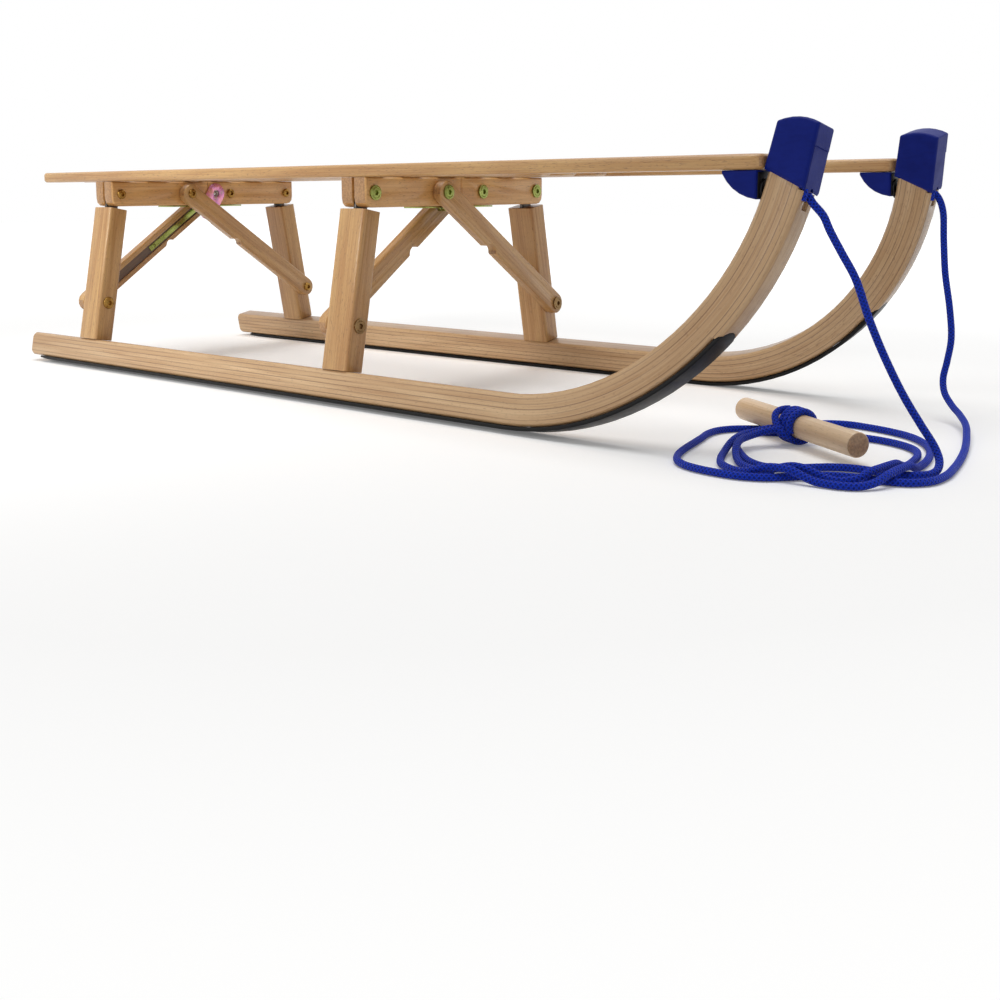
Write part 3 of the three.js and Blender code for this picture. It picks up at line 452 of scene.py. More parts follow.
# Pull cord
ropes = {
    "diameter": 6 * mm, "sides": 24, "step": 0.8 * mm, "plaitPitch": 3.2 * mm, "plaitStrands": 10,
    "swell": 0.02,
    "right": {"length": 0.985, "route": [
        (0.50953, -0.13171, 0.20413), (0.51354, -0.13277, 0.19849), (0.5215, -0.1312, 0.189),
        (0.5266, -0.1302, 0.178), (0.535, -0.128, 0.162), (0.545, -0.125, 0.143), (0.5535, -0.119, 0.114),
        (0.5635, -0.111, 0.0845), (0.5755, -0.103, 0.056), (0.5875, -0.098, 0.0345),
        (0.597, -0.096, 0.0195), (0.602, -0.0995, 0.0108), (0.6036, -0.1065, 0.0056),
        (0.602, -0.115, 0.0034), (0.597, -0.1245, 0.0033), (0.588, -0.1315, 0.0033),
        (0.576, -0.133, 0.0033), (0.562, -0.1315, 0.0033), (0.548, -0.133, 0.0033), (0.536, -0.139, 0.0033),
        (0.524, -0.151, 0.0033), (0.512, -0.163, 0.0033), (0.498, -0.1675, 0.0033), (0.481, -0.159, 0.0033),
        (0.461, -0.136, 0.0033), (0.443, -0.109, 0.0033), (0.431, -0.083, 0.0033), (0.4275, -0.068, 0.0033),
        (0.4305, -0.056, 0.0033), (0.443, -0.048, 0.0033), (0.462, -0.041, 0.0033), (0.48, -0.032, 0.0033),
        (0.498, -0.024, 0.0033), (0.516, -0.02, 0.0033), (0.533, -0.0225, 0.0033), (0.55, -0.03, 0.0033),
        (0.5635, -0.042, 0.0033), (0.572, -0.06, 0.0033), (0.5765, -0.081, 0.0033),
        (0.5785, -0.101, 0.0036), (0.5793, -0.113, 0.0062), (0.5797, -0.124, 0.0096),
        (0.5793, -0.137, 0.0105), (0.578, -0.149, 0.0105), (0.5755, -0.161, 0.0097), (0.57, -0.171, 0.0054),
        (0.561, -0.1765, 0.0035), (0.552, -0.1783, 0.0039), (0.5435, -0.1798, 0.0068),
        (0.535, -0.181, 0.0098), (0.526, -0.182, 0.0104), (0.5165, -0.183, 0.008), (0.507, -0.1833, 0.0046),
        (0.495, -0.181, 0.0033), (0.4815, -0.172, 0.0033), (0.469, -0.157, 0.0043),
        (0.4615, -0.1445, 0.0081), (0.4563, -0.131, 0.0102), (0.4536, -0.1195, 0.0108),
        (0.4533, -0.108, 0.011), (0.456, -0.0985, 0.0122), (0.462, -0.0905, 0.0142),
        (0.47106, -0.07999, 0.0151),
    ]},
    "left": {"length": 1.427, "route": [
        (0.50953, 0.13171, 0.20413), (0.51354, 0.13277, 0.19849), (0.5176, 0.132, 0.1875),
        (0.5194, 0.132, 0.161), (0.5222, 0.131, 0.132), (0.528, 0.13, 0.099), (0.531, 0.128, 0.073),
        (0.5285, 0.127, 0.052), (0.527, 0.123, 0.037), (0.531, 0.116, 0.0255), (0.541, 0.106, 0.0165),
        (0.5545, 0.088, 0.0115), (0.5695, 0.058, 0.0086), (0.581, 0.025, 0.0058), (0.591, -0.008, 0.004),
        (0.6, -0.044, 0.0033), (0.608, -0.084, 0.0033), (0.612, -0.116, 0.0033), (0.6095, -0.138, 0.0033),
        (0.601, -0.15, 0.0033), (0.589, -0.156, 0.0033), (0.575, -0.1575, 0.0033), (0.56, -0.16, 0.0033),
        (0.546, -0.166, 0.0033), (0.534, -0.177, 0.0033), (0.524, -0.189, 0.0033), (0.512, -0.2, 0.0033),
        (0.497, -0.206, 0.0033), (0.481, -0.207, 0.0033), (0.464, -0.205, 0.0033), (0.449, -0.2, 0.0033),
        (0.4375, -0.191, 0.0033), (0.4285, -0.177, 0.0033), (0.4205, -0.155, 0.0033),
        (0.414, -0.128, 0.0033), (0.4085, -0.104, 0.0033), (0.4035, -0.084, 0.0033),
        (0.4035, -0.066, 0.0033), (0.411, -0.051, 0.0033), (0.423, -0.041, 0.0033), (0.434, -0.033, 0.0033),
        (0.444, -0.018, 0.0033), (0.452, 0.003, 0.0033), (0.463, 0.021, 0.0033), (0.48, 0.028, 0.0033),
        (0.5, 0.0255, 0.0033), (0.52, 0.0195, 0.0033), (0.54, 0.009, 0.0033), (0.5575, -0.0085, 0.0033),
        (0.573, -0.036, 0.0033), (0.584, -0.073, 0.0033), (0.5875, -0.102, 0.0036),
        (0.5893, -0.115, 0.0064), (0.59, -0.126, 0.0098), (0.59, -0.138, 0.0105), (0.5895, -0.15, 0.0105),
        (0.588, -0.162, 0.0091), (0.584, -0.1735, 0.0052), (0.577, -0.183, 0.0034), (0.567, -0.189, 0.0033),
        (0.556, -0.1907, 0.0034), (0.547, -0.1912, 0.004), (0.538, -0.1916, 0.0068), (0.53, -0.192, 0.0098),
        (0.521, -0.193, 0.0105), (0.512, -0.1943, 0.0098), (0.503, -0.1952, 0.0066),
        (0.4945, -0.1945, 0.0039), (0.481, -0.1895, 0.0033), (0.468, -0.179, 0.0033),
        (0.4585, -0.163, 0.0033), (0.451, -0.144, 0.0039), (0.4473, -0.127, 0.0079),
        (0.4462, -0.114, 0.0103), (0.4468, -0.102, 0.0109), (0.4505, -0.0925, 0.0121),
        (0.4568, -0.0855, 0.0141), (0.46514, -0.07625, 0.0151),
    ]},
}


def smoothRoute(points, step):
    # one smooth line through the points, paced by the square root of their spacing
    points = [Vector(p) for p in points]
    knots = [points[0] * 2 - points[1], *points, points[-1] * 2 - points[-2]]
    route = []
    for i in range(len(points) - 1):
        p0, p1, p2, p3 = knots[i:i + 4]
        a, b, c = ((q - p).length ** 0.5 for p, q in ((p0, p1), (p1, p2), (p2, p3)))
        lead = ((p1 - p0) / a - (p2 - p0) / (a + b) + (p2 - p1) / b) * b
        trail = ((p2 - p1) / b - (p3 - p1) / (b + c) + (p3 - p2) / c) * b
        count = max(2, round((p2 - p1).length / step))
        for j in range(count):
            t = j / count
            route.append(p1 * (2 * t ** 3 - 3 * t ** 2 + 1) + lead * (t ** 3 - 2 * t ** 2 + t)
                         + p2 * (3 * t ** 2 - 2 * t ** 3) + trail * (t ** 3 - t ** 2))
    return [*route, points[-1]]


def tubeAlong(name, route, radius, sides, swell=0.0):
    # a tube whose wall swells a little under each strand
    count = len(route)
    across = Vector((0, 0, 1)).cross(route[1] - route[0])
    if across.length < 1e-9:
        across = Vector((1, 0, 0))
    rings, lay, distance = [], [], 0.0
    for i, point in enumerate(route):
        ahead = (route[min(i + 1, count - 1)] - route[max(i - 1, 0)]).normalized()
        across = (across - ahead * across.dot(ahead)).normalized()
        side = ahead.cross(across)
        distance += (point - route[i - 1]).length if i else 0.0
        ring = []
        for j in range(sides):
            turn = 2 * math.pi * j / sides
            along = math.cos(2 * math.pi * distance / ropes["plaitPitch"])
            plait = along * math.cos(ropes["plaitStrands"] / 2 * turn)
            reach = radius * (1 + swell * (plait - 1))
            ring.append(point + (across * math.cos(turn) + side * math.sin(turn)) * reach)
            lay.append(Vector((distance, math.cos(turn), math.sin(turn))))
        rings.append(ring)
    piece = skinRings(name, rings, sharpAngle=60)
    storeVectors(piece.data, "lay", lay)
    return piece


def storeVectors(mesh, name, vectors):
    layer = mesh.attributes.new(name, "FLOAT_VECTOR", "POINT")
    layer.data.foreach_set("vector", [value for vector in vectors for value in vector])


def cordFinish():
    # strands that cross over and under each other, with painted shade darkening the hollows between them and
    # paler crowns
    finish, tree, shader = newFinish("braidedCord", Sheen_Weight=0.1, Sheen_Roughness=0.4,
                                     Specular_IOR_Level=0.15)
    lay = put(tree, "Attribute", attribute_name="lay").outputs["Vector"]
    parts = put(tree, "SeparateXYZ", {0: lay}).outputs
    along = calc(tree, "DIVIDE", parts[0], ropes["plaitPitch"])
    turn = calc(tree, "ARCTAN2", parts[2], parts[1])
    around = calc(tree, "MULTIPLY", turn, ropes["plaitStrands"] / 2 / (2 * math.pi))
    waves = []
    for sign in (1.0, -1.0):
        phase = calc(tree, "ADD", calc(tree, "MULTIPLY", around, sign), along)
        waves.append(calc(tree, "SINE", calc(tree, "MULTIPLY", phase, 2 * math.pi)))
    # where two strands cross, the upper one changes place with the lower one
    plait = calc(tree, "MAXIMUM", *waves)
    fuzz = noise(tree, lay, (1600, 14, 14), 2.0)
    # painted shade: the colour darkens where the strands sink between each other
    colour = blend(tree, ramp(tree, plait, -0.2, 0.8), paint(5, 18, 102), paint(14, 52, 190))
    colour = blend(tree, ramp(tree, fuzz, 0.35, 0.75, 0.0, 0.35), colour, paint(26, 74, 212))
    height = calc(tree, "ADD", plait, calc(tree, "MULTIPLY", fuzz, 0.35))
    feed(tree, shader, colour, ramp(tree, fuzz, 0.3, 0.7, 0.55, 0.75), height, 0.45 * mm)
    return finish


cordBlue = cordFinish()
routes = {name: smoothRoute(ropes[name]["route"], ropes["step"]) for name in sides}
for name in sides:
    route = routes[name]
    print(f"cord {name}: {sum((b - a).length for a, b in zip(route, route[1:])):.4f} m")
    tube = tubeAlong(f"cord_{name}", route, ropes["diameter"] / 2, ropes["sides"], ropes["swell"])
    dress(tube, cordBlue, f"rope_{name}")

# Handle: a turned stick with broken edges
handle = {
    "radius": 10 * mm, "length": 166 * mm, "rim": 1.8 * mm, "turn": -32.3,
    "place": (0.476, -0.0675, 0.0166),
}
gripPlace = (Matrix.Translation(handle["place"])
             @ Matrix.Rotation(math.radians(handle["turn"]), 4, "Z"))
grainShift = iter(range(1, 100))


def storeGrain(piece, place):
    # place turns a point into metres along the grain, across it and into the wood
    shift = next(grainShift)
    offset = Vector((0.371 * shift, 0.113 * (shift % 7), 0.0))
    mesh = piece.data
    storeVectors(mesh, "grain", [place(vertex.co) + offset for vertex in mesh.vertices])
    layer = mesh.attributes.new("cutEnd", "FLOAT", "FACE")
    cuts = []
    for face in mesh.polygons:
        step = place(face.center + face.normal * mm) - place(face.center)
        cuts.append(1.0 if abs(step.x) > 0.8 * mm else 0.0)
    layer.data.foreach_set("value", cuts)


def straightGrain(place):
    inverse = place.inverted()
    return lambda point: inverse @ point


def makeHandle(values):
    half, radius, rim = values["length"] / 2, values["radius"], values["rim"]
    profile = [(-half, radius - rim)]
    profile += [(-half + rim * (1 - math.cos(a)), radius - rim * (1 - math.sin(a)))
                for a in (math.pi / 8 * k for k in range(1, 4))]
    profile += [(-half + rim, radius)]
    profile += [(-half + values["length"] * k / 12, radius) for k in range(1, 12)]
    mirrored = [(-x, r) for x, r in profile[:5]][::-1]
    piece = turned("handle_fine", [*profile, *mirrored], gripPlace, 48)
    storeGrain(piece, straightGrain(gripPlace))
    return dress(piece, handleFinish, "handle")


handlePiece = makeHandle(handle)

# Knot: three wraps round the stick and a strand that crosses over them
knot = {
    "wrapRadius": 12.6 * mm, "wrapPitch": 5.8 * mm, "wraps": 3, "stepsPerWrap": 24, "step": 1.0 * mm,
    "start": 200,
    "over": [  # along the stick, degrees round it and distance from its axis, in millimetres
        (7.5, 214, 12.8), (5.5, 200, 16.4), (1.5, 184, 18.2), (-3.5, 168, 18.3), (-8.0, 152, 17.6),
        (-10.6, 134, 15.4), (-10.4, 114, 13.4), (-8.5, 96, 12.6),
    ],
}


def roundStick(along, degrees, reach):
    turn = math.radians(degrees)
    return gripPlace @ Vector((along, reach * math.cos(turn), reach * math.sin(turn)))


def makeKnot(values):
    half = values["wraps"] * values["wrapPitch"] / 2
    steps = values["stepsPerWrap"]
    wraps = [roundStick(-half + values["wrapPitch"] * i / steps, values["start"] + 360 / steps * i,
                        values["wrapRadius"]) for i in range(values["wraps"] * steps + 1)]
    over = [roundStick(x * mm, a, r * mm) for x, a, r in values["over"]]
    winding, crossing = (
        tubeAlong(name, smoothRoute(points, values["step"]), ropes["diameter"] / 2, ropes["sides"],
                  ropes["swell"]) for name, points in (("knot_wraps", wraps), ("knot_crossing", over)))
    dress(winding, cordBlue, "rope_knot")
    dress(crossing, cordBlue, body=bodyOf["rope_knot"])
    return [winding, crossing]


knotPieces = makeKnot(knot)
print("pull cord laid")

# Wood: every stick keeps its solid's shape, with the edges rounded over
hinge = {name: middle(f"leg_pivot_bolt_{name}_front") for name in sides}
splay = math.radians(10.65)
woodRounding = 0.8 * mm
barX = {end: middle(f"leg_pivot_bolt_right_{end}").x for end in ends}
runnerShape = {
    "bendStart": 215.3 * mm, "bendRadius": 240 * mm, "hornStart": 6.82 * mm,
    "hornTurn": math.radians(80), "rounding": 0.9 * mm,
}


def leanPlace(name, x=0.0):
    # a frame on a leg hinge line, with Z up the leg
    side = sides[name]
    return (Matrix.Translation((x, hinge[name].y, hinge[name].z))
            @ Matrix.Rotation(side * splay, 4, "X"))


def runnerGrain(name, values):
    inverse = leanPlace(name, barX["front"] + values["bendStart"]).inverted()
    centre = values["hornStart"] + values["bendRadius"] * math.cos(values["hornTurn"])
    radius, full = values["bendRadius"], values["hornTurn"]

    def place(point):
        local = inverse @ point
        below = centre - local.z
        if local.x <= 0:
            return Vector((local.x, local.y, below))
        turn = min(math.atan2(local.x, below), full)
        out = local.x * math.sin(turn) + below * math.cos(turn)
        on = local.x * math.cos(turn) - below * math.sin(turn)
        return Vector((radius * turn + on, local.y, out))
    return place


def bendSlices(name, values):
    # planes through the middle of the bend, 2 degrees apart
    place = leanPlace(name, barX["front"] + values["bendStart"])
    centre = values["hornStart"] + values["bendRadius"] * math.cos(values["hornTurn"])
    point = place @ Vector((0, 0, centre))
    turns = [values["hornTurn"] * k / 40 for k in range(41)]
    return [(point, place.to_3x3() @ Vector((math.cos(turn), 0, math.sin(turn)))) for turn in turns]


def woodPiece(node, place, finish=beechFinish, rounding=woodRounding, slices=()):
    piece = fineCopy(node, rounding, slices=slices)
    storeGrain(piece, place if callable(place) else straightGrain(place))
    return dress(piece, finish, node)


for name in sides:
    woodPiece(f"runner_{name}", runnerGrain(name, runnerShape), laminateFinish, runnerShape["rounding"],
              bendSlices(name, runnerShape))
    for end in ends:
        legPlace = leanPlace(name, barX[end]) @ Matrix.Rotation(math.pi / 2, 4, "Y")
        woodPiece(f"leg_{name}_{end}", legPlace)
        barPlace = Matrix.Translation((barX[end], 0, 0)) @ Matrix.Rotation(math.pi / 2, 4, "Z")
        woodPiece(f"crossbar_{name}_{end}", barPlace, bounceLitBarFinish)
    for slat in ("outer", "middle", "inner"):
        woodPiece(f"{slat}_slat_{name}", Matrix.Translation(middle(f"{slat}_slat_{name}")))

# Spring strip in a channel along the rear brace, the channel's floor lined with dark beech as painted shade;
# lengths run from its top bolt
lockSpring = {
    "channelWidth": 11 * mm, "channelDepth": 1.6 * mm, "channelFrom": 16 * mm, "channelTo": 206 * mm,
    "shadeGap": 0.2 * mm, "shadeEndGap": 0.3 * mm, "shadeSheet": 0.15 * mm,
    "width": 6.6 * mm, "from": 24 * mm, "to": 124 * mm, "sheet": 0.9 * mm, "rounding": 0.25 * mm,
    "screwAt": 117 * mm, "screwRadius": 3.0 * mm, "screwRise": 1.1 * mm, "recess": 1.5 * mm,
}


def channelPlace(node, top, slope):
    # X down the brace from its top bolt, Z out of its front face
    _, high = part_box(node)
    return (Matrix.Translation((high[0], top.y, top.z)) @ Matrix.Rotation(slope, 4, "X")
            @ Matrix.Rotation(math.pi / 2, 4, "Z") @ Matrix.Rotation(math.pi / 2, 4, "X"))


def springBrace(node, place, bracePlace, values):
    half = values["channelWidth"] / 2
    floor = -values["channelDepth"]
    start, stop = values["channelFrom"], values["channelTo"]
    mesh = weldedMesh(node)
    roundEdges(mesh, woodRounding)
    mesh = carved(mesh, (brick("channel", (start, -half, floor), (stop, half, 5 * mm), place),))
    piece = flatFaced(finished(f"{node}_fine", mesh))
    storeGrain(piece, straightGrain(bracePlace))
    dress(piece, beechFinish, node)
    # a dark sheet on the channel's floor: painted shade in the recess
    half -= values["shadeGap"]
    gap = values["shadeEndGap"]
    bed = floor + values["shadeSheet"]
    shadeSheet = brick("brace_channel_shade", (start + gap, -half, floor - 0.3 * mm), (stop - gap, half, bed),
                  place)
    storeGrain(shadeSheet, straightGrain(bracePlace))
    dress(shadeSheet, channelShadeFinish, body=bodyOf[node])
    half = values["width"] / 2
    top = bed + values["sheet"]
    spring = roundedBrick("brace_lock_spring", (values["from"], -half, bed), (values["to"], half, top),
                          place, values["rounding"])
    dress(spring, zincFinish, body=bodyOf[node])
    radius, rise, recess = (values[key] for key in ("screwRadius", "screwRise", "recess"))
    screw = turned("brace_spring_screw", [
        (top - 0.2 * mm, radius), (top + 0.4 * mm, radius), (top + rise * 0.8, radius * 0.8),
        (top + rise, recess), (top + 0.2 * mm, recess * 0.7),
    ], place @ Matrix.Translation((values["screwAt"], 0, 0)) @ upward, 24)
    dress(screw, zincFinish, body=bodyOf[node])


for end in ends:
    for face in braceFaces:
        node = f"brace_{end}_{face}"
        top = middle(f"brace_top_bolt_{end}_{face}")
        low = middle(f"brace_low_bolt_{end}_{face}")
        slope = math.atan2(low.z - top.z, low.y - top.y)
        bracePlace = (Matrix.Translation(top) @ Matrix.Rotation(slope, 4, "X")
                      @ Matrix.Rotation(math.pi / 2, 4, "Z"))
        if node == "brace_rear_back_face":
            springBrace(node, channelPlace(node, top, slope), bracePlace, lockSpring)
        else:
            woodPiece(node, bracePlace)
print("wood dressed")

# Plastic: soles, caps on the horns and the gussets behind them
capShape = {
    "foot": 236.354 * mm, "lean": math.radians(10), "rounding": 1.1 * mm, "wall": 12.4 * mm,
    "frontLow": 19.7 * mm, "frontHigh": 17.5 * mm, "low": -5.6 * mm, "high": 44.5 * mm,
    "backLow": 5.3 * mm, "back": -16.8 * mm,
    "panelTop": 27.5 * mm, "panelRight": -10.2 * mm, "panelDepth": 1.0 * mm,
    "slotWidth": 1.9 * mm, "slotDepth": 4.2 * mm, "notchRadius": 2.3 * mm,
    "notchDepth": 4.5 * mm, "notchPlace": (1.5 * mm, 0.6 * mm), "brokenEdge": 0.3 * mm,
    "tail": (17 * mm, -6.4 * mm, -4.4 * mm), "tailLength": 9 * mm, "tailRadius": 2.7 * mm,
}


def capPlace(name):
    x = barX["front"] + runnerShape["bendStart"] + capShape["foot"]
    return (leanPlace(name, x) @ Matrix.Translation((0, 0, runnerShape["hornStart"]))
            @ Matrix.Rotation(capShape["lean"], 4, "Y"))


def makeCap(name, values):
    place = capPlace(name)
    inverse = place.inverted()
    slope = (values["backLow"] - values["low"]) / (values["frontLow"] - values["back"])

    def outside(edge):
        corners = [inverse @ vertex.co for vertex in edge.verts]
        rims = [c.z - values["low"] - slope * (values["frontLow"] - c.x) for c in corners]
        return min(abs(c.y) for c in corners) > values["wall"] and max(rims) > 1 * mm

    tilt = math.atan2(values["frontLow"] - values["frontHigh"], values["high"] - values["low"])
    front = (place @ Matrix.Translation((values["frontLow"], 0, values["low"]))
             @ Matrix.Rotation(-tilt, 4, "Y"))
    rise = values["panelTop"] - values["low"]
    far = 20 * mm
    side = values["panelRight"]
    panel = brick("panel", (-values["panelDepth"], side, -far), (far, far, rise), front)
    slot = brick("slot", (-values["slotDepth"], side - values["slotWidth"], -far),
                 (far, side + 0.2 * mm, rise), front)
    notch = turned("notch", [(-values["notchDepth"], values["notchRadius"]), (far, values["notchRadius"])],
                   front @ Matrix.Translation((0, *values["notchPlace"])), 24)
    # both caps are the same moulding, so the left one is the right one's mesh moved over
    mesh = weldedMesh("horn_cap_right")
    mesh.transform(place @ capPlace("right").inverted())
    roundEdges(mesh, values["rounding"], 4, chosen=outside)
    mesh = carved(mesh, (panel, slot, notch))
    roundEdges(mesh, values["brokenEdge"], 2)
    dress(flatFaced(finished(f"horn_cap_{name}_fine", mesh)), blueFinish, f"horn_cap_{name}")


def makeTail(name, values):
    # the rope's short cut end beside the cap's mouth
    mouth = capPlace(name) @ Matrix.Translation(values["tail"])
    tail = [mouth @ Vector((0.03 * k * mm, 0, -k * values["tailLength"] / 8)) for k in range(9)]
    dress(tubeAlong(f"cord_tail_{name}", tail, values["tailRadius"], ropes["sides"]), cordBlue,
          body=bodyOf[f"horn_cap_{name}"])


# painted shade: a thin black sheet where the gap before the horn lies in shadow
gussetShadePad = {
    "thickness": 0.55 * mm, "halfWidth": 11 * mm, "low": 1.0 * mm, "high": 1.6 * mm, "rounding": 0.2 * mm,
}


def makeShadePad(name, values):
    # black pad on the front of the gusset, towards the horn: painted shade standing in for the narrow shaded
    # gap there
    low, high = (Vector(corner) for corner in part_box(f"slat_gusset_{name}"))
    middleY = (low.y + high.y) / 2
    shadePiece = roundedBrick(
        f"gusset_shade_pad_{name}", (high.x, middleY - values["halfWidth"], low.z + values["low"]),
        (high.x + values["thickness"], middleY + values["halfWidth"], high.z - values["high"]),
        Matrix.Identity(4), values["rounding"], 3)
    dress(shadePiece, blackFinish, body=bodyOf[f"slat_gusset_{name}"])


lockBush = {
    "back": 5.5 * mm, "front": 17.5 * mm, "bore": 3.3 * mm, "radius": 5.75 * mm, "rim": 0.3 * mm,
}


def makeBush(back, front, bore, radius, rim):
    bush = turned("lock_bush_fine", [
        (back, bore), (back, radius - 0.35 * mm), (back + 0.4 * mm, radius), (front - rim, radius),
        (front, radius - rim), (front, bore + rim), (front - rim, bore),
    ], Matrix.Translation((barX["rear"], middle("lock_bush").y, middle("lock_bush").z)), 48, loop=True)
    dress(bush, whiteFinish, "lock_bush")


for name in sides:
    dress(fineCopy(f"sole_{name}", 0.5 * mm), soleFinish, f"sole_{name}")
    makeCap(name, capShape)
    dress(fineCopy(f"slat_gusset_{name}", 0.6 * mm, 3), blueFinish, f"slat_gusset_{name}")
    makeShadePad(name, gussetShadePad)
    dress(fineCopy(f"horn_pin_{name}", 0.25 * mm), blackFinish, f"horn_pin_{name}")
    makeTail(name, capShape)
makeBush(**lockBush)
print("plastic dressed")

# Bolts and screws
domedHead = {
    "radius": 5.75 * mm, "height": 3.2 * mm, "domeShare": 0.7, "socket": 2.5 * mm, "depth": 2.4 * mm,
    "ringAt": 0.66, "ringDepth": 0.25 * mm,
}
flatHead = {
    "radius": 7.5 * mm, "height": 2.2 * mm, "domeShare": 0.35, "socket": 2.5 * mm, "depth": 1.9 * mm,
    "ringAt": 0.7, "ringDepth": 0.5 * mm,
}
capNut = {**domedHead, "radius": 7.2 * mm, "height": 3.4 * mm, "socket": 2.6 * mm, "ringAt": 0.74}
shankRadius = 3 * mm
legHalfDepth = 17.5 * mm


def headProfile(head, face, outward):
    flank = head["height"] * (1 - head["domeShare"])
    dome = head["height"] - flank
    first = math.asin(1.3 * head["socket"] / head["radius"])
    crown = face + outward * (flank + dome * math.cos(first))
    profile = [(crown - outward * head["depth"], head["socket"] * 0.98, "sunk"),
               (crown - outward * 0.15 * mm, head["socket"], "sunk"),
               (crown, head["socket"] * 1.08, "sunk")]
    for k in range(21):
        turn = first + (math.pi / 2 - first) * k / 20
        share = math.sin(turn)
        groove = head["ringDepth"] * max(0, 1 - abs(share - head["ringAt"]) / 0.07)
        profile.append((face + outward * (flank + dome * math.cos(turn) - groove), head["radius"] * share))
    return [*profile, (face, head["radius"] - 0.15 * mm)]


def makeBolt(node, head, finish, single=False):
    low, high = (Vector(corner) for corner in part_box(node))
    place = Matrix.Translation((0, (low.y + high.y) / 2, (low.z + high.z) / 2))
    rear, front = low.x + head["height"], high.x - head["height"]
    if single and node.endswith("back_face"):
        profile = [*headProfile(head, rear, -1), (rear, shankRadius), (high.x, shankRadius)]
    elif single:
        profile = [(low.x, shankRadius), (front, shankRadius), *reversed(headProfile(head, front, 1))]
    else:
        profile = [*headProfile(head, rear, -1), (rear, shankRadius), (front, shankRadius),
                   *reversed(headProfile(head, front, 1))]
    return dress(turned(f"{node}_fine", profile, place, 48), finish, node)


for end, head, finish in (("rear", domedHead, brassFinish), ("front", flatHead, zincFinish)):
    lowFinish = brassFinish if end == "rear" else bronzeFinish
    for name in sides:
        makeBolt(f"leg_pivot_bolt_{name}_{end}", head, finish)
    for face, sign in braceFaces.items():
        makeBolt(f"brace_top_bolt_{end}_{face}", head, finish)
        makeBolt(f"brace_low_bolt_{end}_{face}", head, lowFinish, single=True)
        # the bolt's other head, on the far face of the leg
        pivot = middle(f"brace_low_bolt_{end}_{face}")
        name = "left" if sign > 0 else "right"
        farHead = capNut if end == "rear" else flatHead
        far = turned(f"leg_cap_nut_{name}_{end}", headProfile(farHead, -sign * legHalfDepth, -sign),
                     Matrix.Translation((barX[end], pivot.y, pivot.z)), 48)
        dress(far, lowFinish, body=bodyOf[f"leg_{name}_{end}"])

slatScrew = {
    "radius": 4.25 * mm, "proud": 0.12 * mm, "recess": 2.2 * mm, "depth": 1.6 * mm,
    "pairSpread": 11.5 * mm, "leafReach": (17 * mm, 43 * mm), "leafSheet": 1.9 * mm,
}


def makeScrew(name, place, body, values):
    # place has X out of the surface that the head lies in
    edge, top, recess = values["radius"], values["proud"], values["recess"]
    profile = [
        (top - values["depth"], recess * 0.45, "sunk"), (top - 0.1 * mm, recess, "sunk"),
        (top, recess * 1.05, "sunk"), (top, recess * 1.3), (top, edge - 0.25 * mm),
        (0.0, edge), (-0.4 * mm, edge),
    ]
    dress(turned(name, profile, place, 48, recess=crossRecess), zincFinish, body=body)


for name, side in sides.items():
    for end in ends:
        for slat, spread in (("outer", (-1, 1)), ("middle", (0,)), ("inner", (0,))):
            node = f"{slat}_slat_{name}"
            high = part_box(node)[1][2]
            for shift in spread:
                x = barX[end] + shift * slatScrew["pairSpread"]
                place = Matrix.Translation((x, middle(node).y, high)) @ upward
                label = {-1: "_a", 0: "", 1: "_b"}[shift]
                makeScrew(f"screw_{slat}_{name}_{end}{label}", place, bodyOf[node], slatScrew)
        node = f"hinge_leaf_{name}_{end}"
        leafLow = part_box(f"crossbar_{name}_{end}")[0][2] - slatScrew["leafSheet"]
        for k, reach in enumerate(slatScrew["leafReach"]):
            place = Matrix.Translation((barX[end], side * reach, leafLow)) @ downward
            makeScrew(f"leaf_screw_{name}_{end}_{k}", place, bodyOf[node], slatScrew)
print("bolts and screws set")

# Steel: tongues in the legs, centre hinges and the lock
hingePin = {"radius": 1.5 * mm, "chamfer": 0.4 * mm}


def makeHingePin(node, radius, chamfer):
    back, front = (corner[0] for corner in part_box(node))
    pin = turned(f"{node}_fine", [
        (back, radius - chamfer), (back + chamfer, radius), (front - chamfer, radius),
        (front, radius - chamfer),
    ], Matrix.Translation((0, 0, middle(node).z)), 32)
    dress(pin, steelFinish, node)


for name in sides:
    for end in ends:
        dress(fineCopy(f"leg_tongue_{name}_{end}", 0.2 * mm), darkSteelFinish, f"leg_tongue_{name}_{end}")
        dress(fineCopy(f"hinge_leaf_{name}_{end}", 0.25 * mm), zincFinish, f"hinge_leaf_{name}_{end}")
for end in ends:
    makeHingePin(f"hinge_pin_{end}", **hingePin)
dress(fineCopy("lock_plate", 0.3 * mm), pinkFinish, "lock_plate")

lockPin = {
    "tip": -368.91 * mm, "length": 29.7 * mm, "rodReach": 24.5 * mm, "radius": 3 * mm, "rod": 1.6 * mm,
    "eye": 1.75 * mm, "eyeWire": 0.75 * mm,
}
pullRing = {"radius": 11.8 * mm, "wire": 0.36 * mm, "pitch": 0.8 * mm, "turns": 2, "stepsPerTurn": 96}


def circleRings(centre, radius, wire, count, sides):
    # rings of a wire bent into a circle that stands across Y
    rings = []
    for i in range(count):
        turn = 2 * math.pi * i / count
        out = Vector((math.cos(turn), 0, math.sin(turn)))
        rings.append([centre + out * (radius + wire * math.cos(2 * math.pi * j / sides))
                      - Vector((0, wire * math.sin(2 * math.pi * j / sides), 0)) for j in range(sides)])
    return rings


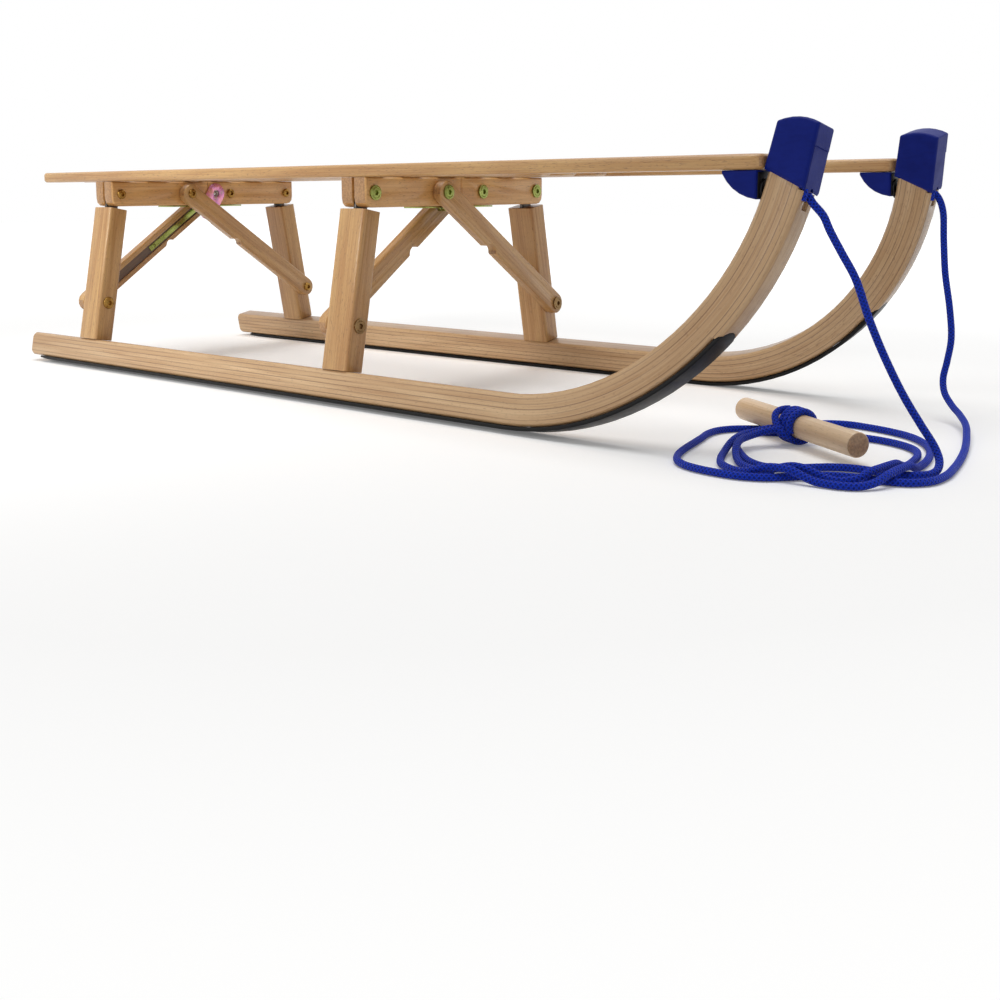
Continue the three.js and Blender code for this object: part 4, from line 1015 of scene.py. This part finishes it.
def makeLockPin(pin):
    centre = middle("lock_pin")
    step = pin["tip"] - pin["length"]
    back = step - pin["rodReach"]
    rod = turned("lock_pin_fine", [
        (back, pin["rod"] * 0.8), (back + 0.5 * mm, pin["rod"]), (step, pin["rod"]),
        (step, pin["radius"] - 0.4 * mm), (step + 0.4 * mm, pin["radius"]),
        (pin["tip"] - 1.2 * mm, pin["radius"]), (pin["tip"] - 0.4 * mm, pin["radius"] - 0.35 * mm),
        (pin["tip"], pin["radius"] - 1.3 * mm),
    ], Matrix.Translation((0, centre.y, centre.z)), 40)
    dress(rod, steelFinish, "lock_pin")
    eye = circleRings(Vector((back - pin["eye"], centre.y, centre.z)), pin["eye"], pin["eyeWire"], 24, 12)
    dress(skinRings("lock_pin_eye", eye, loop=True), steelFinish, body="lock_pin_body")


def makePullRing(ring):
    # a split ring: two turns of wire side by side
    centre = middle("pull_ring")
    steps = ring["stepsPerTurn"] * ring["turns"]
    route = []
    for k in range(steps + 1):
        turn = 2 * math.pi * k / ring["stepsPerTurn"]
        drift = ring["pitch"] * ring["turns"] * (k / steps - 0.5)
        across, up = ring["radius"] * math.sin(turn), ring["radius"] * math.cos(turn)
        route.append(centre + Vector((drift, across, up)))
    dress(tubeAlong("pull_ring_fine", route, ring["wire"], 12), chromeFinish, "pull_ring")


makeLockPin(lockPin)
makePullRing(pullRing)
print("metalwork dressed")

# Studio: pale floor, soft light from above and a white surround
studio = {
    "floorSize": 14.0, "sky": 0.3, "floorLift": 0.13, "farLift": 0.4, "liftReach": (0.8, 1.8),
    "top": {"strength": 1.75, "spread": 50.0, "from": (-0.1, 0.0, 1.0)},
    "soft": {"power": 1.3, "size": 0.8, "beam": 38.0, "place": (-0.5, -1.6, 0.9), "aim": (-0.25, 0, 0.12)},
}


def makeFloor(values):
    half = values["floorSize"] / 2
    floor = newPiece("floor", [(-half, -half, 0), (half, -half, 0), (half, half, 0), (-half, half, 0)],
                     [(0, 1, 2, 3)])
    finish, tree, shader = newFinish("paleFloor", Roughness=1.0, Specular_IOR_Level=0.0)
    point = put(tree, "TexCoord").outputs["Object"]
    shade = noise(tree, point, (3, 3, 3), 1.0)
    colour = blend(tree, shade, (0.93, 0.93, 0.925, 1), (0.94, 0.94, 0.935, 1))
    tree.links.new(colour, shader.inputs["Base Color"])
    path = put(tree, "LightPath").outputs
    seen = calc(tree, "MAXIMUM", path["Is Camera Ray"], path["Is Glossy Ray"])
    # seen directly, the floor turns white away from the middle
    reach = put(tree, "VectorMath", {0: point}, operation="LENGTH").outputs[1]
    glow = ramp(tree, reach, *values["liftReach"], values["floorLift"], values["farLift"])
    lift = put(tree, "Emission", {"Strength": calc(tree, "MULTIPLY", seen, glow)})
    both = put(tree, "AddShader", {0: shader.outputs[0], 1: lift.outputs[0]})
    tree.links.new(both.outputs[0], tree.nodes["Material Output"].inputs[0])
    floor.data.materials.append(finish)


def makeSurround(values):
    world = bpy.data.worlds.new("studio")
    world.use_nodes = True
    bpy.context.scene.world = world
    tree = world.node_tree
    path = put(tree, "LightPath").outputs
    seen = calc(tree, "MAXIMUM", calc(tree, "MAXIMUM", path["Is Camera Ray"], path["Is Glossy Ray"]),
                 path["Is Transmission Ray"])
    sky = tree.nodes["Background"]
    sky.inputs["Color"].default_value = (1, 1, 1, 1)
    sky.inputs["Strength"].default_value = values["sky"]
    white = put(tree, "Background", {"Color": (1, 1, 1, 1), "Strength": 1.0})
    mix = put(tree, "MixShader", {0: seen, 1: sky.outputs[0], 2: white.outputs[0]})
    tree.links.new(mix.outputs[0], tree.nodes["World Output"].inputs[0])


def placeLamp(lamp, place, back):
    # a lamp shines along its own -Z, away from back
    holder = bpy.data.objects.new(lamp.name, lamp)
    holder.rotation_euler = Vector(back).to_track_quat("Z", "Y").to_euler()
    holder.location = place
    bpy.context.scene.collection.objects.link(holder)


def makeLamps(values):
    top = bpy.data.lights.new("top", "SUN")
    top.energy = values["top"]["strength"]
    top.angle = math.radians(values["top"]["spread"])
    soft = bpy.data.lights.new("soft", "AREA")
    soft.energy = values["soft"]["power"]
    soft.size = values["soft"]["size"]
    soft.spread = math.radians(values["soft"]["beam"])
    placeLamp(top, (0, 0, 2), values["top"]["from"])
    placeLamp(soft, values["soft"]["place"], Vector(values["soft"]["place"]) - Vector(values["soft"]["aim"]))


makeFloor(studio)
makeSurround(studio)
makeLamps(studio)
bpy.context.scene.view_settings.view_transform = "Standard"
print("scene ready")
